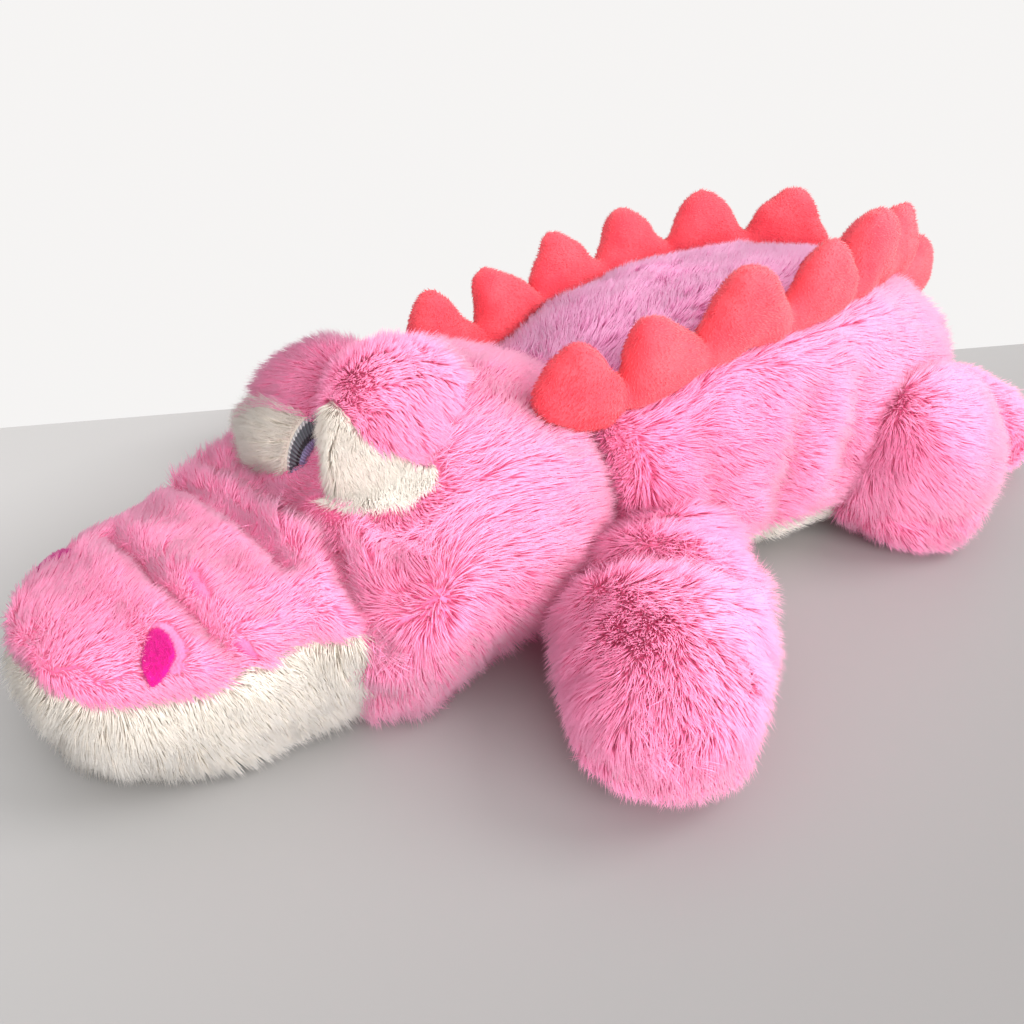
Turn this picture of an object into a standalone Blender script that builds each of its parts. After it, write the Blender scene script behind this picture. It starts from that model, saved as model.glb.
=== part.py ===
"""Plush crocodile that lies on its belly, sewn from fabric panels over loose filling.

Metres, +Z up. The toy faces -Y, its own left side is +X, and z = 0 is the surface that it lies on.
The origin is on the flat of the belly, on the middle line of the body.
"""

import math

import bmesh
import bpy
from mathutils import Matrix, Vector

# Fabric
WALL = 0.0022
SEAM_GAP = 0.0003
CUT_GAP = 0.0006
FILLING_GAP = 0.0008
FLOOR_BITE = 0.0005

# Body
BODY_MIDDLE_Z = 0.060
BODY_SAG = 0.020
BODY_ROLL = math.radians(5)
BODY_SQUARENESS = 2.3
CHEST_Y = -0.075
CHEST_LENGTH = 0.250
CHEST_WIDTH = 0.188
CHEST_HEIGHT = 0.104
RUMP_Y = 0.055
RUMP_LENGTH = 0.268
RUMP_WIDTH = 0.210
RUMP_HEIGHT = 0.136
BODY_BLUNTNESS = 2.7
BELLY_ANGLE = math.radians(-26)
SPIKE_SEAM_ANGLE = math.radians(46)
SPIKE_SEAM_FRONT_ANGLE = math.radians(62)
SPIKE_SEAM_FRONT_UNTIL = -0.35
SPIKE_SEAM_REAR_ANGLE = math.radians(73)
SPIKE_SEAM_REAR_FROM = 0.18

# Rows of spikes
SPIKES_PER_ROW = 7
SPIKE_PITCH = 0.049
SPIKE_ROW_START_Y = -0.120
SPIKE_HEIGHT = 0.033
SPIKE_BAND_HEIGHT = 0.013
SPIKE_BAND_THICKNESS = 0.009
SPIKE_THICKNESS = 0.019
SPIKE_BASE_THICKNESS = 0.006
SPIKE_LEAN = 0.45
SPIKE_SINK = 0.0010

# Head, round its pivot in the neck
NECK_X = 0.006
NECK_Y = -0.154
NECK_TURN = math.radians(12)
HEAD_MIDDLE_Z = 0.058
HEAD_SAG = 0.014
SKULL_RADIUS = 0.106
SKULL_HEIGHT = 0.124
HEAD_UPPER_SQUARENESS = 2.2
HEAD_LOWER_SQUARENESS = 2.3
FOREHEAD_REACH = 0.056
CHEEK_WIDTH = 0.200
CHEEK_REACH = 0.058
CHEEK_Y = -0.056
CHEEK_HEIGHT = 0.081
MUZZLE_WIDTH = 0.136
MUZZLE_HEIGHT = 0.080
SNOUT_REACH = 0.202
SNOUT_WIDTH = 0.124
SNOUT_HEIGHT = 0.073
SNOUT_BLUNTNESS = 4.2
CHEEK_LINE_Y = -0.094
MOUTH_NOSE_ANGLE = math.radians(-5)
MOUTH_CHEEK_ANGLE = math.radians(2)

# Eyes and nostrils
EYE_SPACING = 0.055
EYE_ROLL = math.radians(13)
EYE_PITCH = math.radians(20)
EYE_MOUND_WIDTH = 0.068
EYE_MOUND_LENGTH = 0.088
EYE_MOUND_HEIGHT = 0.084
EYE_MOUND_Y = -0.022
EYE_MOUND_Z = 0.095
EYE_SPLIT_TILT = math.radians(56)
EYE_SPLIT_ROLL = math.radians(15)
EYE_SPLIT_OFFSET = 0.009
IRIS_HEIGHT = 0.034
IRIS_WIDTH = 0.026
IRIS_INWARD = math.radians(53)
IRIS_RISE = math.radians(15)
EMBROIDERY_THICKNESS = 0.0009
NOSTRIL_LENGTH = 0.024
NOSTRIL_WIDTH = 0.012
NOSTRIL_Y = -0.166
NOSTRIL_ANGLE = math.radians(32)
NOSTRIL_ANGLE_SPAN = math.radians(46)
NOSTRIL_SLANT = 0.5

# Legs, each on a hinge along the top of its root
LEG_ROOT_X = 0.074
LEG_MIDDLE_Z = 0.0325
LEG_UPPER_SQUARENESS = 2.3
LEG_LOWER_SQUARENESS = 3.0
ROOT_LIFT = 0.004
HEAD_CLEARANCE = 0.0035
FRONT_LEG_Y = -0.050
FRONT_HINGE_X = 0.100
FRONT_LEG_HEADING = math.radians(-38)
FRONT_LEG_REACH = 0.178
FRONT_PAW_WIDTH = 0.082
FRONT_PAW_HEIGHT = 0.062
REAR_LEG_Y = 0.076
REAR_HINGE_X = 0.080
REAR_LEG_HEADING = math.radians(40)
REAR_LEG_REACH = 0.079
REAR_PAW_WIDTH = 0.086
REAR_PAW_HEIGHT = 0.090

# Tail
TAIL_ROOT_Y = 0.160
TAIL_HINGE_REACH = 0.034
TAIL_HEIGHT = 0.056
TAIL_WIDTH = 0.092
TAIL_TIP_WIDTH = 0.062
TAIL_LENGTH = 0.120
TAIL_CURL = math.radians(90)
TAIL_HEADING = math.radians(35)

# How finely the forms are cut
BODY_RINGS = 13
BODY_COLUMNS = (7, 8, 7, 8)
SNOUT_RINGS = 8
SKULL_RINGS = 9
HEAD_COLUMNS = 22
MOUTH_COLUMNS = 12
LIMB_RINGS = 9
LIMB_COLUMNS = (7, 7)
SAMPLES_PER_SPIKE = 8

PINK = (0.90, 0.27, 0.52)
LILAC_PINK = (0.84, 0.34, 0.58)
CORAL = (0.92, 0.24, 0.26)
CREAM = (0.90, 0.86, 0.78)
MAGENTA = (0.75, 0.03, 0.28)
LAVENDER = (0.42, 0.42, 0.62)
FILLING_WHITE = (0.93, 0.93, 0.93)


def cloth(name, colour, roughness=0.9):
    """A plain fabric material."""
    material = bpy.data.materials.get(name)
    if material is None:
        material = bpy.data.materials.new(name)
        material.use_nodes = True
        shader = material.node_tree.nodes["Principled BSDF"]
        shader.inputs["Base Color"].default_value = (*colour, 1.0)
        shader.inputs["Roughness"].default_value = roughness
        shader.inputs["Metallic"].default_value = 0.0
        material.diffuse_color = (*colour, 1.0)
    return material


def signed_power(value, power):
    return math.copysign(abs(value) ** power, value)


def smooth_step(value):
    value = min(max(value, 0.0), 1.0)
    return value * value * (3 - 2 * value)


class Lobe:
    """One swelling of a form: where it lies along the spine, and how far it reaches each way."""

    def __init__(self, at, front, rear, side, up, down, bluntness=2.0):
        self.at = at
        self.front = front
        self.rear = rear
        self.side = side
        self.up = up
        self.down = down
        self.bluntness = bluntness

    def swell(self, y, inset):
        reach = self.front if y < self.at else self.rear
        share = abs((y - self.at) / (reach - inset))
        if share >= 1.0:
            return 0.0
        return math.sqrt(1.0 - share**self.bluntness)


class Form:
    """A stuffed form: lobes strung on a spine, and the frame that places it in the world."""

    BLEND = 7.0

    def __init__(self, lobes, frame, squareness, bend=None):
        self.lobes = lobes
        self.frame = frame
        self.squareness = squareness
        self.bend = bend

    def ends(self, inset):
        front = min(lobe.at - lobe.front for lobe in self.lobes) + inset
        rear = max(lobe.at + lobe.rear for lobe in self.lobes) - inset
        return front, rear

    def reach(self, y, inset, kind):
        total = 0.0
        for lobe in self.lobes:
            size = getattr(lobe, kind) - inset
            total += (size * lobe.swell(y, inset)) ** self.BLEND
        return total ** (1.0 / self.BLEND)

    def point(self, along, around, inset=0.0):
        """World point at along, -1 front to 1 rear, and around, 0 at +side and 90 degrees on top."""
        front, rear = self.ends(inset)
        y = (front + rear) / 2 + along * (rear - front) / 2
        return self.at_station(y, around, inset)

    def at_station(self, y, around, inset=0.0):
        power = 2.0 / self.squareness(y, math.sin(around) >= 0)
        across = self.reach(y, inset, "side") * signed_power(math.cos(around), power)
        kind = "up" if math.sin(around) >= 0 else "down"
        high = self.reach(y, inset, kind) * signed_power(math.sin(around), power)
        local = Vector((across, y, high))
        if self.bend:
            local = self.bend(local)
        world = self.frame @ local
        world.z = max(world.z, inset)
        return world

    def station_share(self, y, inset=0.0):
        front, rear = self.ends(inset)
        return (2 * y - front - rear) / (rear - front)


def add_object(name, bm, material, parent=None, smooth=True):
    """A closed mesh with its faces outward, under its joint's empty where it has one."""
    bmesh.ops.remove_doubles(bm, verts=bm.verts, dist=1e-6)
    bmesh.ops.recalc_face_normals(bm, faces=bm.faces)
    mesh = bpy.data.meshes.new(name)
    bm.to_mesh(mesh)
    bm.free()
    if smooth:
        mesh.shade_smooth()
        mesh.set_sharp_from_angle(angle=math.radians(50))
    mesh.materials.append(material)
    piece = bpy.data.objects.new(name, mesh)
    bpy.context.scene.collection.objects.link(piece)
    if parent is not None:
        piece.parent = parent
        piece.matrix_parent_inverse = parent.matrix_world.inverted()
    return piece


def spread(first, last, count):
    return [first + (last - first) * i / count for i in range(count + 1)]


def eased_stations(first, last, count):
    """Shares along a form, closer together towards its two ends."""
    start = math.acos(max(-1.0, min(1.0, -first)))
    stop = math.acos(max(-1.0, min(1.0, -last)))
    return [-math.cos(angle) for angle in spread(start, stop, count)]


def bridge(bm, first, second, closed):
    """Faces between two rows of vertices, split the same way on every form so that they stay parallel."""
    count = len(first)
    for i in range(count if closed else count - 1):
        j = (i + 1) % count
        bm.faces.new((first[i], first[j], second[j]))
        bm.faces.new((first[i], second[j], second[i]))


def panel(form, stations, seams_at, which, columns):
    """A fabric panel with its thickness, between one seam and the next, drawn back by the gap."""
    bm = bmesh.new()
    layers = []
    for inset in (0.0, WALL):
        rows = []
        for along in stations:
            seams = seams_at(along)
            start = seams[which]
            stop = (*seams, seams[0] + 2 * math.pi)[which + 1]
            middle = form.point(along, (start + stop) / 2, inset)
            centre = form.point(along, (start + stop) / 2 + math.pi, inset)
            turn = SEAM_GAP / max((middle - centre).length, 4 * SEAM_GAP)
            angles = spread(start, stop, columns)
            angles[0] += turn
            angles[-1] -= turn
            rows.append([bm.verts.new(form.point(along, angle, inset)) for angle in angles])
        layers.append(rows)
    outer, inner = layers
    for rows in layers:
        for first, second in zip(rows, rows[1:]):
            bridge(bm, first, second, closed=False)
    for i in range(len(stations) - 1):
        for side in (0, -1):
            bm.faces.new((outer[i][side], outer[i + 1][side], inner[i + 1][side], inner[i][side]))
    for end in (0, -1):
        bridge(bm, outer[end], inner[end], closed=False)
    return bm


def around(seams, columns):
    """Angles right round a form at one station, evenly spread from each seam to the next."""
    angles = []
    for start, stop, count in zip(seams, (*seams[1:], seams[0] + 2 * math.pi), columns):
        angles += spread(start, stop, count)[:-1]
    return angles


def solid(form, inset, rows):
    """The whole form as one closed solid, on the stations and angles of its panels."""
    bm = bmesh.new()
    rings = []
    for along, angles in rows:
        rings.append([bm.verts.new(form.point(along, angle, inset)) for angle in angles])
    for first, second in zip(rings, rings[1:]):
        bridge(bm, first, second, closed=True)
    front, rear = form.ends(inset)
    for ring, station in ((rings[0], front), (rings[-1], rear)):
        tip = bm.verts.new(form.at_station(station, 0.0, inset))
        for i, vert in enumerate(ring):
            bm.faces.new((vert, ring[(i + 1) % len(ring)], tip))
    return bm


def spheroid(frame, radius, up, down, sides, clearance):
    """A round cutter that clears the ball of the same size at every turn."""
    flat = math.cos(math.pi / sides) ** 2
    bm = bmesh.new()
    bmesh.ops.create_uvsphere(bm, u_segments=sides, v_segments=sides // 2, radius=1.0)
    wide = (radius + clearance) / flat
    for vert in bm.verts:
        tall = ((up if vert.co.z > 0 else down) + clearance) / flat
        vert.co = frame @ Vector((vert.co.x * wide, vert.co.y * wide, vert.co.z * tall))
    return bm


def cutter(name, bm):
    bmesh.ops.recalc_face_normals(bm, faces=bm.faces)
    mesh = bpy.data.meshes.new(name)
    bm.to_mesh(mesh)
    bm.free()
    piece = bpy.data.objects.new(name, mesh)
    piece.hide_render = True
    piece.display_type = "WIRE"
    bpy.context.scene.collection.objects.link(piece)
    return piece


def cut(piece, tool):
    modifier = piece.modifiers.new("cut_" + tool.name, "BOOLEAN")
    modifier.operation = "DIFFERENCE"
    modifier.object = tool


def joint_empty(name, frame):
    empty = bpy.data.objects.new(name, None)
    empty.empty_display_size = 0.03
    empty.matrix_world = frame
    bpy.context.scene.collection.objects.link(empty)
    bpy.context.view_layer.update()
    return empty


# The forms

def body_form():
    lobes = []
    for y, length, width, height in (
        (CHEST_Y, CHEST_LENGTH, CHEST_WIDTH, CHEST_HEIGHT),
        (RUMP_Y, RUMP_LENGTH, RUMP_WIDTH, RUMP_HEIGHT),
    ):
        up = height - BODY_MIDDLE_Z
        down = BODY_MIDDLE_Z + BODY_SAG
        lobes.append(Lobe(y, length / 2, length / 2, width / 2, up, down, BODY_BLUNTNESS))
    frame = Matrix.Translation((0, 0, BODY_MIDDLE_Z)) @ Matrix.Rotation(-BODY_ROLL, 4, "Y")
    return Form(lobes, frame, lambda y, above: BODY_SQUARENESS)


def head_frame():
    return Matrix.Translation((NECK_X, NECK_Y, HEAD_MIDDLE_Z)) @ Matrix.Rotation(NECK_TURN, 4, "Z")


def head_form():
    down = HEAD_MIDDLE_Z + HEAD_SAG
    up = SKULL_HEIGHT - HEAD_MIDDLE_Z
    skull = Lobe(0.0, FOREHEAD_REACH, SKULL_RADIUS, SKULL_RADIUS, up, down)
    up = CHEEK_HEIGHT - HEAD_MIDDLE_Z
    cheek = Lobe(CHEEK_Y, CHEEK_REACH, -CHEEK_Y, CHEEK_WIDTH / 2, up, down)
    muzzle_reach = SNOUT_REACH * 0.44
    up = MUZZLE_HEIGHT - HEAD_MIDDLE_Z
    muzzle = Lobe(-muzzle_reach, muzzle_reach, muzzle_reach, MUZZLE_WIDTH / 2, up, down, SNOUT_BLUNTNESS)
    half = SNOUT_REACH * 0.46
    up = SNOUT_HEIGHT - HEAD_MIDDLE_Z
    snout = Lobe(half - SNOUT_REACH, half, half, SNOUT_WIDTH / 2, up, down, SNOUT_BLUNTNESS)
    square = squarer(HEAD_UPPER_SQUARENESS, HEAD_LOWER_SQUARENESS, 0.0, CHEEK_Y)
    return Form([skull, cheek, muzzle, snout], head_frame(), square)


def squarer(upper, lower, round_until, square_from):
    """Sections that are plain ellipses by the joint and squarer away from it."""
    def at(y, above):
        share = smooth_step((y - round_until) / (square_from - round_until))
        return 2.0 + ((upper if above else lower) - 2.0) * share
    return at


def leg_frame(side, y, heading):
    place = Matrix.Translation((side * LEG_ROOT_X, y, LEG_MIDDLE_Z))
    mirror = Matrix.Diagonal((side, 1, 1, 1))
    return place @ mirror @ Matrix.Rotation(heading - math.pi / 2, 4, "Z")


def leg_form(side, y, heading, reach, paw_width, paw_height):
    """A leg along its own +Y: a lobe at its root and a fat paw that rests on the floor."""
    up = paw_height - LEG_MIDDLE_Z
    down = LEG_MIDDLE_Z + FLOOR_BITE
    paw_reach = reach * 0.40
    paw = Lobe(reach - paw_reach, paw_reach, paw_reach, paw_width / 2, up, down, 2.6)
    root_at = reach * 0.30
    root = Lobe(root_at, reach * 0.52, reach * 0.45, paw_width * 0.46, up, LEG_MIDDLE_Z - ROOT_LIFT, 2.4)
    square = squarer(LEG_UPPER_SQUARENESS, LEG_LOWER_SQUARENESS, 0.0, reach * 0.5)
    return Form([root, paw], leg_frame(side, y, heading), square)


def tail_frame():
    place = Matrix.Translation((0, TAIL_ROOT_Y, TAIL_HEIGHT / 2))
    return place @ Matrix.Rotation(-TAIL_HEADING, 4, "Z")


def tail_bend(local):
    """The tail curls towards the toy's left, on an arc."""
    if local.y <= 0:
        return local
    radius = TAIL_LENGTH / TAIL_CURL
    angle = local.y / radius
    centre = Vector((radius * (1 - math.cos(angle)), radius * math.sin(angle), local.z))
    across = Vector((math.cos(angle), -math.sin(angle), 0)) * local.x
    return centre + across


def tail_form():
    half = TAIL_HEIGHT / 2
    down = half + FLOOR_BITE
    reach = TAIL_LENGTH * 0.45
    root = Lobe(reach * 0.5, reach * 1.2, reach * 0.9, TAIL_WIDTH / 2, half, half - ROOT_LIFT, 2.4)
    thick = Lobe(reach * 1.05, reach * 0.9, reach * 0.9, TAIL_WIDTH * 0.46, half * 0.85, down, 2.4)
    reach = TAIL_LENGTH * 0.30
    tip = Lobe(TAIL_LENGTH - reach, reach, reach, TAIL_TIP_WIDTH / 2, half * 0.55, down, 2.2)
    square = squarer(LEG_UPPER_SQUARENESS, LEG_LOWER_SQUARENESS, 0.0, TAIL_LENGTH * 0.6)
    return Form([root, thick, tip], tail_frame(), square, tail_bend)


def spike_seam(along):
    """Angle of the spike seams round the body, drawing together towards the tail."""
    front = smooth_step((SPIKE_SEAM_FRONT_UNTIL - along) / (1 + SPIKE_SEAM_FRONT_UNTIL))
    rear = smooth_step((along - SPIKE_SEAM_REAR_FROM) / (1 - SPIKE_SEAM_REAR_FROM))
    front_turn = (SPIKE_SEAM_FRONT_ANGLE - SPIKE_SEAM_ANGLE) * front
    rear_turn = (SPIKE_SEAM_REAR_ANGLE - SPIKE_SEAM_ANGLE) * rear
    return SPIKE_SEAM_ANGLE + front_turn + rear_turn


def body_stations():
    return eased_stations(-0.97, 0.985, BODY_RINGS)


def body_seams(along):
    seam = spike_seam(along)
    return BELLY_ANGLE, seam, math.pi - seam, math.pi - BELLY_ANGLE


def body_rows():
    return [(along, around(body_seams(along), BODY_COLUMNS)) for along in body_stations()]


def build_body(form):
    pink = cloth("pink plush", PINK)
    sections = (
        ("left_side_panel", pink),
        ("back_panel", cloth("lilac pink plush", LILAC_PINK)),
        ("right_side_panel", pink),
        ("belly_panel", cloth("cream plush", CREAM)),
    )
    pieces = []
    for i, (name, material) in enumerate(sections):
        patch = panel(form, body_stations(), body_seams, i, BODY_COLUMNS[i])
        pieces.append(add_object(name, patch, material))
    filling = solid(form, WALL + FILLING_GAP, body_rows())
    pieces.append(add_object("body_filling", filling, cloth("fibre filling", FILLING_WHITE)))
    return pieces


def spike_profile(share):
    """Height of one spike across its own pitch: a triangle with a round tip and soft feet."""
    from_tip = abs(share - 0.5) * 2
    return (0.5 + 0.5 * math.cos(math.pi * from_tip)) ** 0.62


def side_seam(along, side):
    return spike_seam(along) if side > 0 else math.pi - spike_seam(along)


def seam_path(form, side):
    """Close points of one spike seam, front to rear, with the station of each."""
    path = []
    stations = body_stations()
    for before, after in zip(stations, stations[1:]):
        first = form.point(before, side_seam(before, side))
        last = form.point(after, side_seam(after, side))
        for share in spread(0.0, 1.0, 24)[:-1]:
            path.append((first.lerp(last, share), before + (after - before) * share))
    return [item for item in path if item[0].y >= SPIKE_ROW_START_Y]


def seam_places(form, side, count):
    """Places along the seam at equal steps of its own length."""
    path = seam_path(form, side)
    step = SPIKE_PITCH / count
    places = [path[0]]
    run = 0.0
    for before, after in zip(path, path[1:]):
        run += (after[0] - before[0]).length
        if run >= step * len(places) and len(places) <= SPIKES_PER_ROW * count:
            places.append(after)
    return places


def spike_row(form, side):
    """One row: a band along the seam that rises into stuffed spikes."""
    bm = bmesh.new()
    rings = []
    places = seam_places(form, side, SAMPLES_PER_SPIKE)
    nudge = 0.004
    turn = math.radians(2)
    for i, (seat, along) in enumerate(places):
        angle = side_seam(along, side)
        tangent = (form.point(along + nudge, angle) - form.point(along - nudge, angle)).normalized()
        course = (places[min(i + 1, len(places) - 1)][0] - places[max(i - 1, 0)][0]).normalized()
        level = (form.point(along, angle + turn) - form.point(along, angle - turn)).normalized()
        normal = level.cross(tangent).normalized()
        if normal.dot(seat - form.point(along, angle, WALL)) < 0:
            normal.negate()
        out = normal * (1 - SPIKE_LEAN) + Vector((0, 0, 1)) * SPIKE_LEAN
        out = (out - course * out.dot(course)).normalized()
        wide = course.cross(out).normalized()
        foot = course.cross(normal).normalized()
        rise = spike_profile((i / SAMPLES_PER_SPIKE) % 1.0)
        height = SPIKE_BAND_HEIGHT + SPIKE_HEIGHT * rise
        thick = SPIKE_BAND_THICKNESS + (SPIKE_THICKNESS - SPIKE_BAND_THICKNESS) * math.sqrt(rise)
        if i in (0, len(places) - 1):
            height *= 0.5
        base = seat - normal * SPIKE_SINK
        section = [base - foot * SPIKE_BASE_THICKNESS / 2, base + foot * SPIKE_BASE_THICKNESS / 2]
        for across, up in ((0.5, 0.35), (0.40, 0.82), (0.0, 1.0), (-0.40, 0.82), (-0.5, 0.35)):
            section.append(base + wide * across * thick + out * up * height)
        rings.append([bm.verts.new(spot) for spot in section])
    for first, second in zip(rings, rings[1:]):
        bridge(bm, first, second, closed=True)
    bm.faces.new(rings[0])
    bm.faces.new(rings[-1])
    return bm


def cheek_share(form):
    return form.station_share(CHEEK_LINE_Y)


def mouth_seams(form):
    """The two mouth seams of the snout, from low at the nose to higher at the cheek."""
    cheek = cheek_share(form)

    def at(along):
        share = smooth_step((along + 1) / (cheek + 1))
        angle = MOUTH_NOSE_ANGLE + (MOUTH_CHEEK_ANGLE - MOUTH_NOSE_ANGLE) * share
        return angle, math.pi - angle
    return at


def middle_seams(along):
    """The two seams of the skull, under the chin and over the top."""
    return -math.pi / 2, math.pi / 2


def head_stations(form):
    gap = SEAM_GAP / SNOUT_REACH
    cheek = cheek_share(form)
    return eased_stations(-0.999, cheek - gap, SNOUT_RINGS), eased_stations(cheek + gap, 0.97, SKULL_RINGS)


def head_rows(form):
    """Stations and angles right round the head, each ring from under the chin."""
    snout, skull = head_stations(form)
    seams_at = mouth_seams(form)
    under = HEAD_COLUMNS - MOUTH_COLUMNS
    rows = []
    for along in snout:
        ring = around(seams_at(along), (MOUTH_COLUMNS, under))
        start = MOUTH_COLUMNS + under // 2
        rows.append((along, ring[start:] + ring[:start]))
    for along in skull:
        rows.append((along, around(middle_seams(along), (HEAD_COLUMNS // 2, HEAD_COLUMNS // 2))))
    return rows


def build_head(neck):
    form = head_form()
    pink = cloth("pink plush", PINK)
    snout, skull = head_stations(form)
    mouth = mouth_seams(form)
    half = HEAD_COLUMNS // 2
    jaw_columns = HEAD_COLUMNS - MOUTH_COLUMNS
    add_object("snout_panel", panel(form, snout, mouth, 0, MOUTH_COLUMNS), pink, neck)
    add_object("jaw_panel", panel(form, snout, mouth, 1, jaw_columns), cloth("cream plush", CREAM), neck)
    add_object("left_cheek_panel", panel(form, skull, middle_seams, 0, half), pink, neck)
    add_object("right_cheek_panel", panel(form, skull, middle_seams, 1, half), pink, neck)
    filling = solid(form, WALL + FILLING_GAP, head_rows(form))
    add_object("head_filling", filling, cloth("fibre filling", FILLING_WHITE), neck)
    shape = cutter("head_shape", solid(form, -CUT_GAP, head_rows(form)))
    for side, name in ((1, "left"), (-1, "right")):
        build_eye(form, shape, neck, side, name)
        nostril = applique(
            lambda u, v, lift: nostril_point(form, side, u, v, lift), teardrop, 14, 2
        )
        add_object(name + "_nostril", nostril, cloth("magenta plush", MAGENTA), neck)


def applique(surface, outline, corners, rings):
    """A thin patch of cloth on a surface, inside an outline given by angle."""
    bm = bmesh.new()
    layers = []
    for lift in (CUT_GAP, CUT_GAP + EMBROIDERY_THICKNESS):
        centre = bm.verts.new(surface(0.0, 0.0, lift))
        rows = []
        for ring in range(1, rings + 1):
            row = []
            for i in range(corners):
                u, v = outline(2 * math.pi * i / corners)
                row.append(bm.verts.new(surface(u * ring / rings, v * ring / rings, lift)))
            rows.append(row)
        for i in range(corners):
            bm.faces.new((centre, rows[0][i], rows[0][(i + 1) % corners]))
        for inner, outer in zip(rows, rows[1:]):
            bridge(bm, inner, outer, closed=True)
        layers.append(rows[-1])
    bridge(bm, layers[0], layers[1], closed=True)
    return bm


def teardrop(angle):
    """Outline of a nostril: round above, drawn to a point below."""
    across = math.cos(angle) * NOSTRIL_WIDTH / 2
    up = math.sin(angle)
    if up < 0:
        across *= 1 + 0.55 * up
    return across, up * NOSTRIL_LENGTH / 2


def nostril_point(form, side, u, v, lift):
    angle = NOSTRIL_ANGLE + NOSTRIL_ANGLE_SPAN * v / NOSTRIL_LENGTH
    if side < 0:
        angle = math.pi - angle
    return form.at_station(NOSTRIL_Y + u + NOSTRIL_SLANT * v, angle, -lift)


def ellipse(angle):
    return math.cos(angle) * IRIS_WIDTH / 2, math.sin(angle) * IRIS_HEIGHT / 2


def build_eye(form, shape, neck, side, name):
    """A stuffed mound on the head: a pink brow behind, a cream patch in front and its stitched iris."""
    centre = Vector((side * EYE_SPACING / 2, EYE_MOUND_Y, EYE_MOUND_Z - HEAD_MIDDLE_Z))
    half = Vector((EYE_MOUND_WIDTH / 2, EYE_MOUND_LENGTH / 2, EYE_MOUND_HEIGHT / 2))
    middle = form.frame @ Matrix.Rotation(-EYE_ROLL, 4, "Y")
    place = middle @ Matrix.Translation(centre)
    frame = place @ Matrix.Rotation(EYE_PITCH, 4, "X")
    aside = -side * math.tan(EYE_SPLIT_ROLL)
    facing = Vector((aside, -math.sin(EYE_SPLIT_TILT), -math.cos(EYE_SPLIT_TILT)))
    normal = (form.frame.to_3x3() @ facing).normalized()
    origin = place @ Vector((0, -EYE_SPLIT_OFFSET, 0))
    for kind, sign, material in (
        ("brow", 1, cloth("pink plush", PINK)),
        ("eye_patch", -1, cloth("cream plush", CREAM)),
    ):
        bm = bmesh.new()
        bmesh.ops.create_uvsphere(bm, u_segments=20, v_segments=12, radius=1.0)
        bmesh.ops.transform(bm, matrix=frame @ Matrix.Diagonal((*half, 1.0)), verts=bm.verts)
        cut_mound(bm, origin - normal * sign * SEAM_GAP / 2, normal * sign)
        keep_inside(bm, centre.x, middle, side)
        piece = add_object(name + "_" + kind, bm, material, neck)
        cut(piece, shape)

    def iris_point(u, v, lift):
        outward = side * IRIS_INWARD * -1
        azimuth = u / half.x + outward
        rise = v / half.z + IRIS_RISE
        level = math.cos(rise)
        ray = Vector((math.sin(azimuth) * level, -math.cos(azimuth) * level, math.sin(rise)))
        size = half + Vector((lift, lift, lift))
        return frame @ Vector((ray.x * size.x, ray.y * size.y, ray.z * size.z))

    iris = applique(iris_point, ellipse, 16, 2)
    keep_inside(iris, centre.x, middle, side)
    cut(add_object(name + "_iris", iris, cloth("lavender thread", LAVENDER, 0.6), neck), shape)


def cut_mound(bm, origin, normal):
    """Keep the side of a mound that lies behind a plane, closed flat."""
    parts = bm.verts[:] + bm.edges[:] + bm.faces[:]
    cutting = bmesh.ops.bisect_plane(bm, geom=parts, plane_co=origin, plane_no=normal, clear_outer=True)
    edges = [item for item in cutting["geom_cut"] if isinstance(item, bmesh.types.BMEdge)]
    bmesh.ops.edgeloop_fill(bm, edges=edges)


def keep_inside(bm, centre_x, frame, side):
    """Trim a mound at the middle line, so that the two mounds meet there."""
    normal = frame.to_3x3() @ Vector((-side, 0, 0))
    origin = frame @ Vector((side * CUT_GAP, 0, 0))
    if EYE_MOUND_WIDTH / 2 > abs(centre_x) - CUT_GAP:
        cut_mound(bm, origin, normal)


def head_room():
    """An upright round cutter that keeps a front leg clear of the turning head."""
    bm = bmesh.new()
    radius = (SKULL_RADIUS + HEAD_CLEARANCE) / math.cos(math.pi / 32)
    depth = 4 * SKULL_HEIGHT
    place = Matrix.Translation((NECK_X, NECK_Y, 0))
    bmesh.ops.create_cone(
        bm, cap_ends=True, segments=32, radius1=radius, radius2=radius, depth=depth, matrix=place
    )
    return bm


def limb_seams(along):
    return 0.0, math.pi


def build_limb(name, kinds, form, hinge, tools):
    """The upper and lower fabric of a leg or tail and its filling, cut by what is larger."""
    stations = eased_stations(-0.96, 0.999, LIMB_RINGS)
    rows = [(along, around(limb_seams(along), LIMB_COLUMNS)) for along in stations]
    pieces = []
    for i, kind in enumerate(kinds):
        patch = panel(form, stations, limb_seams, i, LIMB_COLUMNS[i])
        pieces.append(add_object(name + "_" + kind, patch, cloth("pink plush", PINK), hinge))
    filling = solid(form, WALL + FILLING_GAP, rows)
    pieces.append(add_object(name + "_filling", filling, cloth("fibre filling", FILLING_WHITE), hinge))
    for piece in pieces:
        for tool in tools:
            cut(piece, tool)


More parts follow.
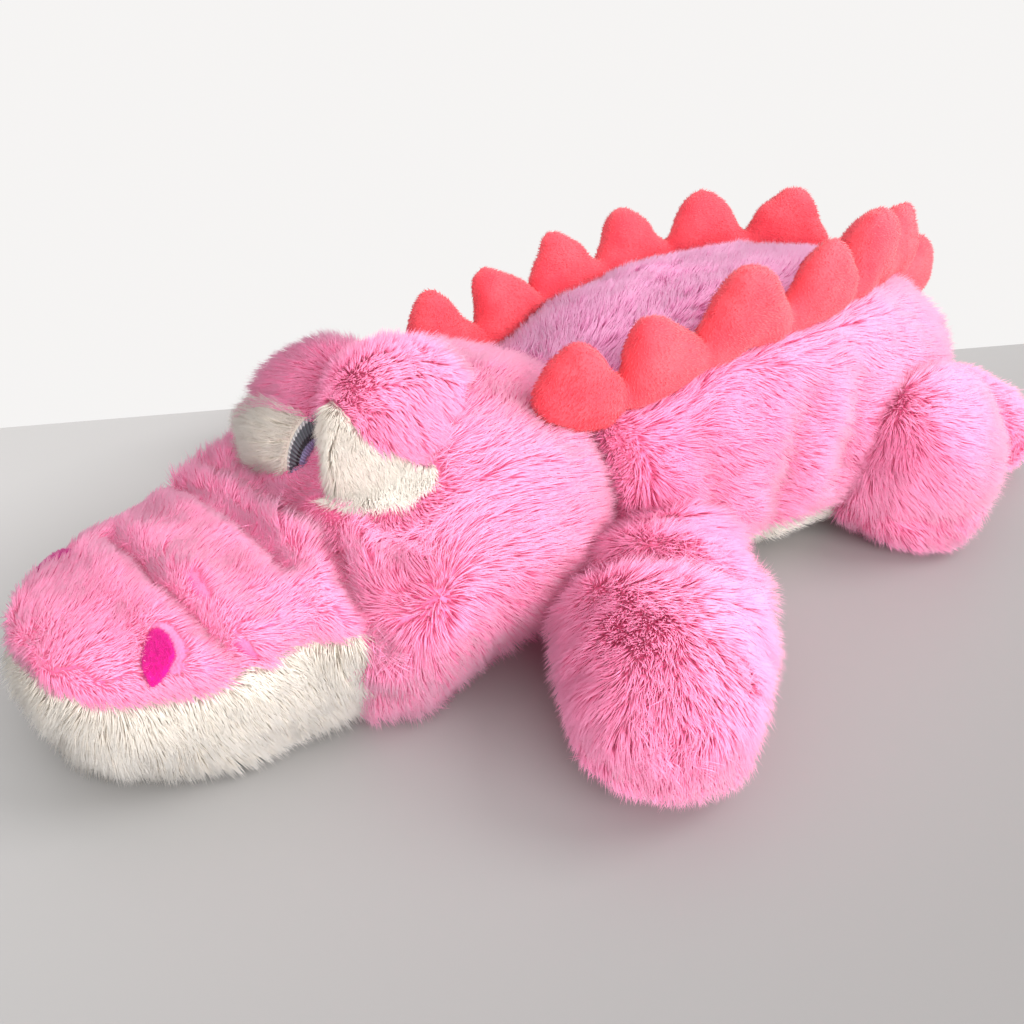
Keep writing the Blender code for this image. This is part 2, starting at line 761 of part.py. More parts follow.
def build():
    for piece in list(bpy.data.objects):
        bpy.data.objects.remove(piece, do_unlink=True)
    body = body_form()
    up = SKULL_HEIGHT - HEAD_MIDDLE_Z
    down = HEAD_MIDDLE_Z + HEAD_SAG
    neck_hollow = cutter("neck_hollow", spheroid(head_frame(), SKULL_RADIUS, up, down, 32, SEAM_GAP))
    body_shape = cutter("body_shape", solid(body, -CUT_GAP, body_rows()))
    room = cutter("head_room", head_room())
    for piece in build_body(body):
        cut(piece, neck_hollow)
    for side, name in ((1, "left"), (-1, "right")):
        row = add_object(name + "_spike_row", spike_row(body, side), cloth("coral plush", CORAL))
        cut(row, body_shape)
        cut(row, neck_hollow)
    build_head(joint_empty("neck_joint", head_frame()))
    for side, side_name in ((1, "left"), (-1, "right")):
        front_sizes = (FRONT_LEG_REACH, FRONT_PAW_WIDTH, FRONT_PAW_HEIGHT)
        rear_sizes = (REAR_LEG_REACH, REAR_PAW_WIDTH, REAR_PAW_HEIGHT)
        for place, y, heading, hinge_x, sizes in (
            ("front", FRONT_LEG_Y, FRONT_LEG_HEADING, FRONT_HINGE_X, front_sizes),
            ("rear", REAR_LEG_Y, REAR_LEG_HEADING, REAR_HINGE_X, rear_sizes),
        ):
            name = side_name + "_" + place + "_leg"
            form = leg_form(side, y, heading, *sizes)
            hinge = joint_empty(name + "_joint", Matrix.Translation((side * hinge_x, y, sizes[2])))
            tools = [body_shape, room] if place == "front" else [body_shape]
            build_limb(name, ("upper_panel", "sole_panel"), form, hinge, tools)
    at_hinge = Matrix.Translation((0, TAIL_HINGE_REACH, TAIL_HEIGHT / 2))
    hinge = joint_empty("tail_joint", tail_frame() @ at_hinge)
    build_limb("tail", ("upper_panel", "under_panel"), tail_form(), hinge, [body_shape])


build()
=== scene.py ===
"""Plush crocodile: fabric skins, pile, spikes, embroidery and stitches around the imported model."""
import itertools
import math

import bmesh
import bpy
import numpy as np
from bpy.props import FloatProperty, FloatVectorProperty, IntProperty, PointerProperty
from mathutils import Matrix, Vector
from mathutils.bvhtree import BVHTree


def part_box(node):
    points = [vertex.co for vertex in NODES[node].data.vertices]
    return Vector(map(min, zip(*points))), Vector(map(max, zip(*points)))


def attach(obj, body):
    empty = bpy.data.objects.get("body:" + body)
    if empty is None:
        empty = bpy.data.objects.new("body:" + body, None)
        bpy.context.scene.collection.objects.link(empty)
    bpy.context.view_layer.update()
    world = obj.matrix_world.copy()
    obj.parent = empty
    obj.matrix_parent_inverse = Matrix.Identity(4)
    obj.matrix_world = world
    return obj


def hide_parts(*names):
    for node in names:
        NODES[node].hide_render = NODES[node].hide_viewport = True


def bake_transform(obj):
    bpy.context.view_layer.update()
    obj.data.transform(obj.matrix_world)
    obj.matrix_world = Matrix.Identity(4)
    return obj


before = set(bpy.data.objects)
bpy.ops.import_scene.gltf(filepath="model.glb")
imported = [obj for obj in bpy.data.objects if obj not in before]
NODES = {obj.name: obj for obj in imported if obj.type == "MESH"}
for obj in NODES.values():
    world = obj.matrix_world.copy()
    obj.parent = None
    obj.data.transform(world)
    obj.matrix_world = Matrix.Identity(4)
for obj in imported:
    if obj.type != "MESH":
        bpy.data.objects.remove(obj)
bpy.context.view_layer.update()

bl_info = {
    "name": "Plush crocodile",
    "version": (1, 0, 0),
    "blender": (4, 5, 0),
    "location": "View3D > Sidebar > Plush",
    "description": "Long-pile plush crocodile with stuffed spikes and embroidered eyes",
    "category": "Object",
}

# Places that the pieces share, in metres in the row frame
HEAD_TURN = math.radians(12)
FORWARD = np.array((math.sin(HEAD_TURN), -math.cos(HEAD_TURN), 0.0))
HEAD_LEFT = np.array((math.cos(HEAD_TURN), math.sin(HEAD_TURN), 0.0))
UP = np.array((0.0, 0.0, 1.0))
SIDES = {"left": 1, "right": -1}
LEGS = ("left_front_leg", "left_rear_leg", "right_front_leg", "right_rear_leg")
SNOUT_TUCKS = (
    ((.000, -.303, .076), (.040, -.296, .078), (.080, -.289, .074), (.102, -.278, .061)),
    ((-.045, -.262, .074), (-.008, -.259, .079), (.037, -.249, .080), (.071, -.248, .077)),
    ((-.054, -.247, .072), (.016, -.235, .082), (.064, -.223, .079), (.097, -.229, .070)),
    ((-.029, -.230, .080), (.049, -.226, .081), (.100, -.223, .069), (.110, -.220, .050)),
)
STITCHED = {
    "snout_stitches": ("head", "head", ((.059, -.282, .078), (.078, -.282, .075))),
    "tuck_stitches": ("head", "head", ((.098, -.279, .067), (.102, -.277, .060))),
    "brow_stitches": ("head", "left_eye", ((.041, -.143, .125), (.053, -.151, .115))),
    "leg_stitches": ("left_front_leg", "left_front_leg",
                     ((.139, -.099, .063), (.148, -.093, .062), (.157, -.086, .059))),
}
IRIS_WIDTH, IRIS_HEIGHT = .034, .048
# How far the cream patches run on over the head, and where they end beside the brow
PATCH_SKIRT, PATCH_BROW_GAP = .011, .008
# The hollow in front of the eyes: its middle, depth and reach
EYE_HOLLOW, EYE_HOLLOW_DEPTH, EYE_HOLLOW_REACH = (.014, -.224), .011, .020
# How far the near back of the head and the near eye mound's inner side are drawn in
HEAD_BACK_EASE = .009
EYE_EASE, EYE_EASE_REACH = .019, .026
# Depth and width of dents, and height, place and width of the swell beside each
TUCK, TUCK_SWELL = (.0055, .0045), (.0022, .011, .006)
SIDE_FOLD, SIDE_FOLD_SWELL = (.0045, .008), (.0018, .017, .009)
CREASE, CREASE_SWELL = (.0065, .0065), (.0030, .018, .011)
NECK, NECK_SMOOTH_REACH = (.009, .017), .030
LIMB_SEAM_DEPTH = .0018
# The weave of the head and the limbs, as a share of the body's
FINER = .85
SPIKE_SWELL, SPIKE_LUMPS, SPIKE_FINE_LUMPS = .0032, .0024, .0009
# Stitches: step, radius and how flat
STITCH_STEP, STITCH_RADIUS, STITCH_FLAT = .0017, .0014, .3
# The camera's place, and its azimuth, elevation and roll in degrees
CAMERA, CAMERA_AZIMUTH, CAMERA_ELEVATION, CAMERA_ROLL = (.432, -.345, .300), 60, 29, -2.5
# What the lights point at
LIGHT_AIM = (0, -.05, .05)
# A point on the table's far edge, the edge's direction, and the table's size
TABLE_EDGE, TABLE_RUN = (-.209, .030, 0), (.44, .98, 0)
TABLE_HALF_LENGTH, TABLE_DEPTH, TABLE_THICKNESS = 3, 4, .03
# Painted light and shade on the table: it grows paler this way, by this much for each metre
PAINTED_LIGHT_TOWARDS = (-1.4, -.4, 0)
LEG_CREASE = ((.110, -.130, .046), (.124, -.119, .058), (.134, -.110, .063), (.142, -.100, .063),
              (.151, -.091, .061), (.161, -.083, .057), (.168, -.078, .044))
SIDE_FOLDS = (
    ((.101, .020, .100), (.102, .008, .075), (.102, .002, .042)),
    ((.100, .062, .110), (.102, .050, .085), (.103, .040, .055)),
    ((.096, -.045, .085), (.098, -.040, .060)),
)
BENDS = {
    "left_front_leg": ((.098, -.068, .062), (.112, -.080, .062)),
    "right_front_leg": ((-.098, -.068, .062), (-.112, -.080, .062)),
    "left_rear_leg": ((.084, .079, .085), (.104, .096, .085)),
    "right_rear_leg": ((-.084, .079, .085), (-.104, .096, .085)),
    "tail": ((.012, .177, .050), (.026, .197, .050)),
}
WHORL = np.array((.113, -.197, .066))
BROW_SEAM = (.044, -.144, .124)


# Mesh helpers
def deselect():
    """Nothing selected and nothing active, in object mode."""
    if bpy.context.object and bpy.context.object.mode != "OBJECT":
        bpy.ops.object.mode_set(mode="OBJECT")
    bpy.ops.object.select_all(action="DESELECT")


def activate(piece):
    deselect()
    piece.select_set(True)
    bpy.context.view_layer.objects.active = piece


def apply_all(piece):
    activate(piece)
    for modifier in list(piece.modifiers):
        bpy.ops.object.modifier_apply(modifier=modifier.name)


def modified(piece, kind, **settings):
    """Adds one modifier with the given settings and applies it."""
    modifier = piece.modifiers.new(kind.lower(), kind)
    for name, value in settings.items():
        setattr(modifier, name, value)
    apply_all(piece)


def new_piece(name, mesh):
    piece = bpy.data.objects.new(name, mesh)
    bpy.context.scene.collection.objects.link(piece)
    return piece


def joined_copy(name, nodes):
    """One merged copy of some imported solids."""
    bm = bmesh.new()
    for node in nodes:
        bm.from_mesh(NODES[node].data)
    bmesh.ops.remove_doubles(bm, verts=bm.verts, dist=1e-6)
    mesh = bpy.data.meshes.new(name)
    bm.to_mesh(mesh)
    bm.free()
    return new_piece(name, mesh)


def keep_outer_shell(piece):
    """Deletes all but the widest of a mesh's loose shells."""
    bm = bmesh.new()
    bm.from_mesh(piece.data)
    left = set(bm.verts)
    shells = []
    while left:
        stack = [left.pop()]
        shell = list(stack)
        while stack:
            for edge in stack.pop().link_edges:
                for vert in edge.verts:
                    if vert in left:
                        left.discard(vert)
                        stack.append(vert)
                        shell.append(vert)
        shells.append(shell)
    shells.sort(key=len)
    bmesh.ops.delete(bm, geom=[v for shell in shells[:-1] for v in shell], context="VERTS")
    bmesh.ops.recalc_face_normals(bm, faces=bm.faces)
    bm.to_mesh(piece.data)
    bm.free()


def points_of(piece):
    co = np.empty(len(piece.data.vertices) * 3)
    piece.data.vertices.foreach_get("co", co)
    return co.reshape(-1, 3)


def normals_of(piece):
    out = np.empty(len(piece.data.vertices) * 3)
    piece.data.vertex_normals.foreach_get("vector", out)
    return out.reshape(-1, 3)


def set_points(piece, points):
    piece.data.vertices.foreach_set("co", np.ascontiguousarray(points).ravel())
    piece.data.update()


def unit(rows):
    return rows / np.maximum(np.linalg.norm(rows, axis=-1, keepdims=True), 1e-9)


def along(normals, direction):
    """The part of a direction that lies in the surface."""
    direction = np.broadcast_to(direction, normals.shape)
    return unit(direction - normals * (direction * normals).sum(1, keepdims=True))


def drift(points, size, seed, count=3):
    """Smooth random values over space, from -1 to 1, with bumps of the given size."""
    grid = np.random.default_rng(seed).uniform(-1, 1, (16, 16, 16, count))
    place = points / size + 100
    base = np.floor(place).astype(int)
    share = place - base
    share = share * share * (3 - 2 * share)
    total = np.zeros((len(points), count))
    for corner in itertools.product((0, 1), repeat=3):
        corner = np.array(corner)
        weight = np.prod(np.where(corner == 1, share, 1 - share), axis=1)
        i, j, k = ((base + corner) % 16).T
        total += grid[i, j, k] * weight[:, None]
    return total


def tree_of(*nodes):
    bm = bmesh.new()
    for node in nodes:
        bm.from_mesh(NODES[node].data)
    tree = BVHTree.FromBMesh(bm)
    bm.free()
    return tree


def distances(tree, points):
    return np.array([tree.find_nearest(point)[3] for point in points])


def hill(gap, height, width, place=0.0):
    """A smooth rise of the given height where a distance is near a place."""
    return height * np.exp(-((gap - place) / width) ** 2)


def dented(gap, dent, swell):
    """How far a dent sinks at a distance from its line, less the swell beside it."""
    height, place, width = swell
    return hill(gap, *dent) - hill(gap, height, width, place)


def middle_of(node):
    low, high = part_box(node)
    return (np.array(low) + np.array(high)) / 2


def path_distance(points, path):
    """How far each point is from a line through the given places."""
    best = np.full(len(points), 1e9)
    for a, b in zip(path, path[1:]):
        a, b = np.array(a), np.array(b)
        t = np.clip((points - a) @ (b - a) / ((b - a) @ (b - a)), 0, 1)
        best = np.minimum(best, np.linalg.norm(points - a - t[:, None] * (b - a), axis=1))
    return best


def tree_on(piece):
    """A search tree over a finished piece."""
    faces = [tuple(face.vertices) for face in piece.data.polygons]
    return BVHTree.FromPolygons(points_of(piece).tolist(), faces)


def laid_on(tree, path, step):
    """Places along a path at an even step, each moved onto the nearest surface."""
    places = []
    for a, b in zip(path, path[1:]):
        a, b = Vector(a), Vector(b)
        count = max(1, round((b - a).length / step))
        places += [a.lerp(b, i / count) for i in range(count)]
    return [tree.find_nearest(place)[0] for place in places + [Vector(path[-1])]]


# Materials
def principled(name, colour, roughness, sheen=0.0, sheen_tint=(1, 1, 1), specular=.3):
    """A material with its node tree and its shader."""
    material = bpy.data.materials.new(name)
    material.use_nodes = True
    shader = material.node_tree.nodes["Principled BSDF"]
    shader.inputs["Base Color"].default_value = (*colour, 1)
    shader.inputs["Roughness"].default_value = roughness
    shader.inputs["Specular IOR Level"].default_value = specular
    shader.inputs["Sheen Weight"].default_value = sheen
    shader.inputs["Sheen Roughness"].default_value = .45
    shader.inputs["Sheen Tint"].default_value = (*sheen_tint, 1)
    material.diffuse_color = (*colour, 1)
    return material, material.node_tree, shader


def add_node(tree, kind, inputs, **settings):
    """A shader node's outputs; each input gets a value, or a link where a socket is given."""
    made = tree.nodes.new(kind)
    for name, value in settings.items():
        setattr(made, name, value)
    for name, value in inputs.items():
        if isinstance(value, bpy.types.NodeSocket):
            tree.links.new(value, made.inputs[name])
        else:
            made.inputs[name].default_value = value
    return made.outputs


def ramp(tree, source, stops):
    """The colour that a ramp gives for a socket."""
    colour = add_node(tree, "ShaderNodeValToRGB", {"Fac": source})["Color"]
    ramp_stops = colour.node.color_ramp.elements
    while len(ramp_stops) < len(stops):
        ramp_stops.new(.5)
    for element, (place, shade) in zip(ramp_stops, stops):
        element.position = place
        element.color = (*shade, 1)
    return colour


def backing_fabric(name, deep, pale):
    """Knitted backing that shows between the roots of the pile."""
    material, tree, shader = principled(name, deep, .9, sheen=.25, specular=.15)
    where = add_node(tree, "ShaderNodeTexCoord", {})["Object"]
    cloudy = add_node(tree, "ShaderNodeTexNoise", {"Vector": where, "Scale": 45, "Detail": 6})["Fac"]
    tree.links.new(ramp(tree, cloudy, ((.35, deep), (.7, pale))), shader.inputs["Base Color"])
    knit = add_node(tree, "ShaderNodeTexVoronoi", {"Vector": where, "Scale": 900})["Distance"]
    bump = add_node(tree, "ShaderNodeBump", {"Height": knit, "Strength": .5, "Distance": .0006})["Normal"]
    tree.links.new(bump, shader.inputs["Normal"])
    return material


def pile(name, deep, root, middle, tip, sheen_tint, glow=.09):
    """Fur fibre: its map runs from root to tip upwards, and from deep to pale tufts sideways.

    The glow stands for the light that passes through fine fibres into the shade between them.
    """
    material, tree, shader = principled(name, middle, .52, sheen=.3, sheen_tint=sheen_tint)
    place = add_node(tree, "ShaderNodeUVMap", {}, uv_map="OFBake")["UV"]
    parts = add_node(tree, "ShaderNodeSeparateXYZ", {"Vector": place})
    # Darker roots: partly the fibres' own colour, partly painted shade deep in the pile
    pale = ramp(tree, parts["Y"], ((0, root), (.35, middle), (1, tip)))
    dark = ramp(tree, parts["Y"], ((0, deep), (.45, root), (1, middle)))
    mix = add_node(tree, "ShaderNodeMix", {"Factor": parts["X"], "A": dark, "B": pale}, data_type="RGBA")
    tree.links.new(mix["Result"], shader.inputs["Base Color"])
    shader.inputs["Emission Color"].default_value = (*root, 1)
    shader.inputs["Emission Strength"].default_value = glow
    return material


def embroidery():
    """Satin-stitch rings around a lavender middle, drawn on the piece's own round map."""
    material, tree, shader = principled("eye_embroidery", (.4, .4, .62), .38, sheen=.15, specular=.5)
    place = add_node(tree, "ShaderNodeUVMap", {}, uv_map="OFBake")["UV"]
    centred = add_node(tree, "ShaderNodeVectorMath", {0: place, 1: (2, 2, 0), 2: (-1, -1, 0)},
                   operation="MULTIPLY_ADD")["Vector"]
    radius = add_node(tree, "ShaderNodeVectorMath", {0: centred}, operation="LENGTH")["Value"]
    parts = add_node(tree, "ShaderNodeSeparateXYZ", {"Vector": centred})
    angle = add_node(tree, "ShaderNodeMath", {0: parts["Y"], 1: parts["X"]}, operation="ARCTAN2")[0]
    wave = add_node(tree, "ShaderNodeMath", {0: angle, 1: 64}, operation="MULTIPLY")[0]
    bars = add_node(tree, "ShaderNodeMath", {0: wave}, operation="SINE")[0]
    ragged = add_node(tree, "ShaderNodeMath", {0: bars, 1: .010, 2: radius}, operation="MULTIPLY_ADD")[0]
    black, lavender, grey, edge = (.012, .012, .02), (.33, .33, .58), (.11, .125, .15), (.70, .72, .72)
    rings = ramp(tree, ragged, ((0, black), (.22, black), (.24, lavender), (.67, lavender), (.69, black),
                                (.76, black), (.78, grey), (.93, grey), (.95, edge)))
    # Painted shade in the grooves between the satin stitches, as darker bars across the rings
    stitch_groove_shade = ramp(tree, bars, ((.2, (.45, .45, .45)), (.8, (1.0, 1.0, 1.0))))
    mix = add_node(tree, "ShaderNodeMix", {"Factor": .8, "A": rings, "B": stitch_groove_shade}, data_type="RGBA",
               blend_type="MULTIPLY")
    tree.links.new(mix["Result"], shader.inputs["Base Color"])
    bump = add_node(tree, "ShaderNodeBump", {"Height": bars, "Strength": .6, "Distance": .0003})["Normal"]
    tree.links.new(bump, shader.inputs["Normal"])
    return material


# Skins
def fabric_skin(name, nodes, panels, voxel, seam_depth, seam_width, lumps, seed):
    """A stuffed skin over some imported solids, drawn in along the seams between its panels."""
    piece = joined_copy(name, nodes)
    modified(piece, "REMESH", mode="VOXEL", voxel_size=voxel)
    keep_outer_shell(piece)
    modified(piece, "SMOOTH", factor=.5, iterations=6)
    points, normals = points_of(piece), normals_of(piece)
    trees = [tree_of(*group) for group in panels]
    reach = np.sort(np.stack([distances(tree, points) for tree in trees]), axis=0)
    sunk = np.zeros(len(points))
    if len(trees) > 1:
        sunk = hill(reach[1], seam_depth, seam_width)
    bulge = drift(points, .030, seed, 1)[:, 0] * lumps + drift(points, .012, seed + 1, 1)[:, 0] * lumps * .4
    set_points(piece, points + normals * (bulge - sunk)[:, None])
    return piece, sunk


def puff(piece, held, cap):
    """Fills the skin with air as cloth under pressure, with some points held, and keeps the result."""
    settings = bpy.context.scene.plush_skin
    if settings.pressure <= 0:
        return
    before = points_of(piece)
    group = piece.vertex_groups.new(name="held")
    for index in np.nonzero(held > .02)[0]:
        group.add([int(index)], float(min(1, held[index])), "REPLACE")
    cloth = piece.modifiers.new("fabric", "CLOTH")
    cloth.settings.quality = 5
    cloth.settings.mass = .25
    cloth.settings.tension_stiffness = 15
    cloth.settings.compression_stiffness = 15
    cloth.settings.shear_stiffness = 5
    cloth.settings.bending_stiffness = .4
    cloth.settings.use_pressure = True
    cloth.settings.uniform_pressure_force = settings.pressure
    cloth.settings.effector_weights.gravity = 0
    cloth.settings.vertex_group_mass = "held"
    cloth.point_cache.frame_start = 1
    cloth.point_cache.frame_end = settings.frames
    for step in range(1, settings.frames + 1):
        bpy.context.scene.frame_set(step)
    apply_all(piece)
    bpy.context.scene.frame_set(1)
    after = points_of(piece)
    moved = after - before
    far = np.linalg.norm(moved, axis=1, keepdims=True)
    set_points(piece, before + moved * np.minimum(1, cap / np.maximum(far, 1e-9)))
    piece.vertex_groups.clear()


def rounded(piece, share, steps):
    """Smooths the part of a skin that the share picks out, from 0 to 1 at each point."""
    group = piece.vertex_groups.new(name="rounded")
    for index in np.nonzero(share > .01)[0]:
        group.add([int(index)], float(share[index]), "REPLACE")
    modified(piece, "SMOOTH", factor=.5, iterations=steps, vertex_group=group.name)
    piece.vertex_groups.clear()


def settle(piece):
    """One subdivision, and a flat rest on the ground."""
    modified(piece, "SUBSURF", levels=1, render_levels=1)
    points = points_of(piece)
    points[:, 2] = np.maximum(points[:, 2], .0004)
    set_points(piece, points)
    piece.data.shade_smooth()


def paint_panels(piece, panels, materials, spread=None):
    """Gives each face the fabric of the panel that it lies on; the last panel may spread."""
    mesh = piece.data
    for material in materials:
        mesh.materials.append(material)
    centres = face_places(piece)[1]
    near = np.stack([distances(tree_of(*group), centres) for group in panels])
    if spread is not None:
        near[-1] -= spread(centres)
    mesh.polygons.foreach_set("material_index", near.argmin(0).astype(np.int32))
    mesh.update()


def face_places(piece):
    """The material number and the middle of each face."""
    polygons = piece.data.polygons
    index = np.empty(len(polygons), dtype=np.int32)
    centres = np.empty(len(polygons) * 3)
    polygons.foreach_get("material_index", index)
    polygons.foreach_get("center", centres)
    return index, centres.reshape(-1, 3)


# Pile
def triangles(piece, region=None):
    mesh = piece.data
    mesh.calc_loop_triangles()
    tris = np.empty(len(mesh.loop_triangles) * 3, dtype=np.int32)
    mesh.loop_triangles.foreach_get("vertices", tris)
    tris = tris.reshape(-1, 3)
    if region is not None:
        which = np.empty(len(mesh.loop_triangles), dtype=np.int32)
        mesh.loop_triangles.foreach_get("material_index", which)
        tris = tris[which == region]
    return tris


def fibre_mesh(name, root, tip, side, across, width, tint):
    """Closed three-sided tapered fibres: three corners around each root, and a pointed tip."""
    count = len(tip)
    co = np.empty((count, 4, 3))
    uv = np.empty((count, 4, 2))
    for corner in range(3):
        angle = corner * 2 * math.pi / 3
        offset = side * math.cos(angle) + across * math.sin(angle)
        co[:, corner] = root + offset * width[:, None]
        uv[:, corner, 0] = tint + (corner - 1) * .004
        uv[:, corner, 1] = 0
    co[:, 3] = tip
    uv[:, 3, 0] = tint
    uv[:, 3, 1] = 1
    co[:, :, 2] = np.maximum(co[:, :, 2], .0002 + np.arange(4) * .00001)
    faces = np.array(((0, 2, 1), (0, 1, 3), (1, 2, 3), (2, 0, 3)))
    index = (faces[None] + (np.arange(count) * 4)[:, None, None]).reshape(-1, 3)
    mesh = bpy.data.meshes.new(name)
    mesh.vertices.add(count * 4)
    mesh.vertices.foreach_set("co", co.ravel())
    mesh.loops.add(index.size)
    mesh.loops.foreach_set("vertex_index", index.ravel().astype(np.int32))
    mesh.polygons.add(len(index))
    mesh.polygons.foreach_set("loop_start", np.arange(0, index.size, 3, dtype=np.int32))
    layer = mesh.uv_layers.new(name="OFBake")
    layer.uv.foreach_set("vector", uv.reshape(-1, 2)[index.ravel()].ravel())
    mesh.update(calc_edges=True)
    mesh.validate()
    mesh.shade_smooth()
    return mesh


def tufts(points, tips, size, seed):
    """The middle end and the shade of each fibre's own tuft."""
    wobble = drift(points, size * 1.3, seed, 3) * size * .45
    cell = np.floor((points + wobble) / size).astype(np.int64)
    key = (cell[:, 0] * 73856093) ^ (cell[:, 1] * 19349663) ^ (cell[:, 2] * 83492791)
    _, which = np.unique(key, return_inverse=True)
    total = np.bincount(which).astype(float)
    end = np.stack([np.bincount(which, tips[:, i]) for i in range(3)], 1) / total[:, None]
    shade = np.random.default_rng(seed).random(len(total))
    return end[which], shade[which]


def grow(name, skin, region, body, plush, comb, length, density, width=.00036, rise=.55, wild=.65, tuft=.007,
         gather=.30, seed=1, bend=None, bare=(), depth=None, stand=None, trim=None, parts=1):
    """Covers a skin, or one panel of it, with combed pile."""
    settings = bpy.context.scene.plush_pile
    rng = np.random.default_rng(seed)
    points, normals = points_of(skin), normals_of(skin)
    tris = triangles(skin, region)
    corners = points[tris]
    area = np.linalg.norm(np.cross(corners[:, 1] - corners[:, 0], corners[:, 2] - corners[:, 0]), axis=1) / 2
    total = np.cumsum(area)
    density = density * settings.density
    count = int(total[-1] * 1e6 * density)
    pick = np.searchsorted(total, (np.arange(count) + rng.random(count)) / count * total[-1])
    pick = np.minimum(pick, len(tris) - 1)
    a, b = rng.random(count), rng.random(count)
    flip = a + b > 1
    a[flip], b[flip] = 1 - a[flip], 1 - b[flip]
    share = np.stack([1 - a - b, a, b], 1)[:, :, None]
    root = (corners[pick] * share).sum(1)
    normal = unit((normals[tris[pick]] * share).sum(1))
    keep = np.ones(count, bool)
    for tree, gap in bare:
        keep &= distances(tree, root) > gap
    keep &= ~((root[:, 2] < .0025) & (rng.random(count) < .8))
    root, normal = root[keep], normal[keep]
    count = len(root)
    lay = unit(comb(root, normal))
    lay = lay - normal * (lay * normal).sum(1, keepdims=True)
    lay = along(normal, lay + drift(root, .022, seed + 3) * wild + drift(root, .006, seed + 4) * wild * .7
                + rng.normal(0, .18, (count, 3)))
    size = length * settings.length * (1 + .22 * drift(root, .015, seed + 5, 1)[:, 0])
    size = size * rng.uniform(.72, 1.18, count)
    if trim is not None:
        size = size * trim(root)
    lift = rise * (1 + .25 * drift(root, .010, seed + 6, 1)[:, 0]) + rng.normal(0, .06, count)
    if stand is not None:
        lift = np.clip(lift + stand(root), .1, .95)
    direction = unit(lay * np.sqrt(np.clip(1 - lift ** 2, .05, 1))[:, None] + normal * lift[:, None])
    tip = root + direction * size[:, None]
    middle_tip, shade = tufts(root, tip, tuft, seed + 7)
    tip = tip + (middle_tip - tip) * gather
    tip = root + unit(tip - root) * size[:, None]
    tint = .5 + .28 * (shade - .5) + .22 * drift(root, .035, seed + 8, 1)[:, 0] + rng.normal(0, .10, count)
    # depth shifts each fibre's tint towards the deep or the pale ramp; some callers paint shade with it
    if depth is not None:
        tint = tint + depth(root)
    tint = np.clip(tint, .03, .97)
    side = unit(np.cross(direction, normal) + rng.normal(0, .02, (count, 3)))
    across = unit(np.cross(tip - root, side))
    sunk = root - normal * .0006
    thick = width * rng.uniform(.8, 1.2, count)
    for part in range(parts):
        rows = slice(part * count // parts, (part + 1) * count // parts)
        label = name if parts == 1 else f"{name}_{part + 1}"
        mesh = fibre_mesh(label, sunk[rows], tip[rows], side[rows], across[rows], thick[rows], tint[rows])
        mesh.materials.append(finishes()[plush])
        piece = new_piece(label, mesh)
        if bend:
            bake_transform(piece)
        else:
            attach(piece, body)


# Combing directions
def near_rim(points):
    """How close a place is to the front rim of the body, from 0 to 1."""
    return np.clip((-.064 - points[:, 1]) / .018, 0, 1)


def comb_body(points, normals):
    """Backwards and down, but forwards over the rim behind the head."""
    out = np.stack([points[:, 0] * 3, np.ones(len(points)), np.full(len(points), -.55)], 1)
    rim = near_rim(points)[:, None]
    return out * (1 - rim) + np.array((.25, -1.0, -.35)) * rim


def from_patch(points):
    """Away from the near eye patch, for pile close to it."""
    gap = distances(tree_of("left_eye_patch"), points) - PATCH_SKIRT
    return unit(points - middle_of("left_eye_patch")) * np.clip(1.4 - gap / .014, 0, 1)[:, None] * 1.3


def comb_head(points, normals):
    sideways = (normals @ HEAD_LEFT)[:, None]
    return -FORWARD * .9 - UP * .45 + HEAD_LEFT * sideways * .4 + from_patch(points)


def comb_jaw(points, normals):
    return -UP * .9 - FORWARD * .35


def near_whorl(points, size):
    return np.exp(-(np.linalg.norm(points - WHORL, axis=1) / size) ** 2)


def comb_cheek(points, normals):
    low = np.clip((.070 - points[:, 2]) / .05, 0, 1)[:, None]
    back = -FORWARD * (1 - .4 * low) - UP * (.25 + .8 * low)
    whorl = near_whorl(points, .024)[:, None]
    return back * (1 - whorl) + unit(points - WHORL) * whorl * 1.6 + from_patch(points)


def comb_brow(side):
    """Over the near brow and down beside its patch, down the far brow; backwards behind the stitched seam."""
    def comb(points, normals):
        ahead = (points - np.array(BROW_SEAM)) @ FORWARD
        share = np.clip(ahead / .012 + .3, 0, 1)[:, None]
        front = FORWARD * .7 - UP * .45 - HEAD_LEFT * .4
        if side > 0:
            front = HEAD_LEFT * .8 + FORWARD * .15 - UP * .6 * (normals @ HEAD_LEFT)[:, None]
        return front * share + (-FORWARD * .9 - UP * .3) * (1 - share)
    return comb


def comb_patch(side, centre):
    """Outwards and down on the near patch, and away from the iris on the far one."""
    def comb(points, normals):
        if side > 0:
            return np.broadcast_to(HEAD_LEFT * .75 - UP * .65 + FORWARD * .25, points.shape)
        return points - centre
    return comb


def comb_leg(root, paw, heading):
    """Outwards from the root, and over the paw outwards from the paw's own top."""
    root, paw, heading = np.array(root), np.array(paw), np.array(heading)

    def comb(points, normals):
        past = np.clip(((points - paw) @ heading) / .016 + .8, 0, 1)[:, None]
        spread = unit(points - paw) * .7 + heading * .8 - UP * .3
        return (unit(points - root) - UP * .2) * (1 - past) + spread * past
    return comb


def painted_shade_near_root(root, share):
    """Painted shade: tufts tinted darker towards the place where a limb joins the body."""
    def shade(points):
        return -share * np.clip(1.3 - np.linalg.norm(points - np.array(root), axis=1) / .06, 0, 1)
    return shade


def comb_tail(points, normals):
    run = np.clip(points[:, 0] / .11, 0, 1)
    turn = np.radians(35 + 75 * run)
    return np.stack([np.sin(turn), np.cos(turn), np.full(len(turn), -.35)], 1)


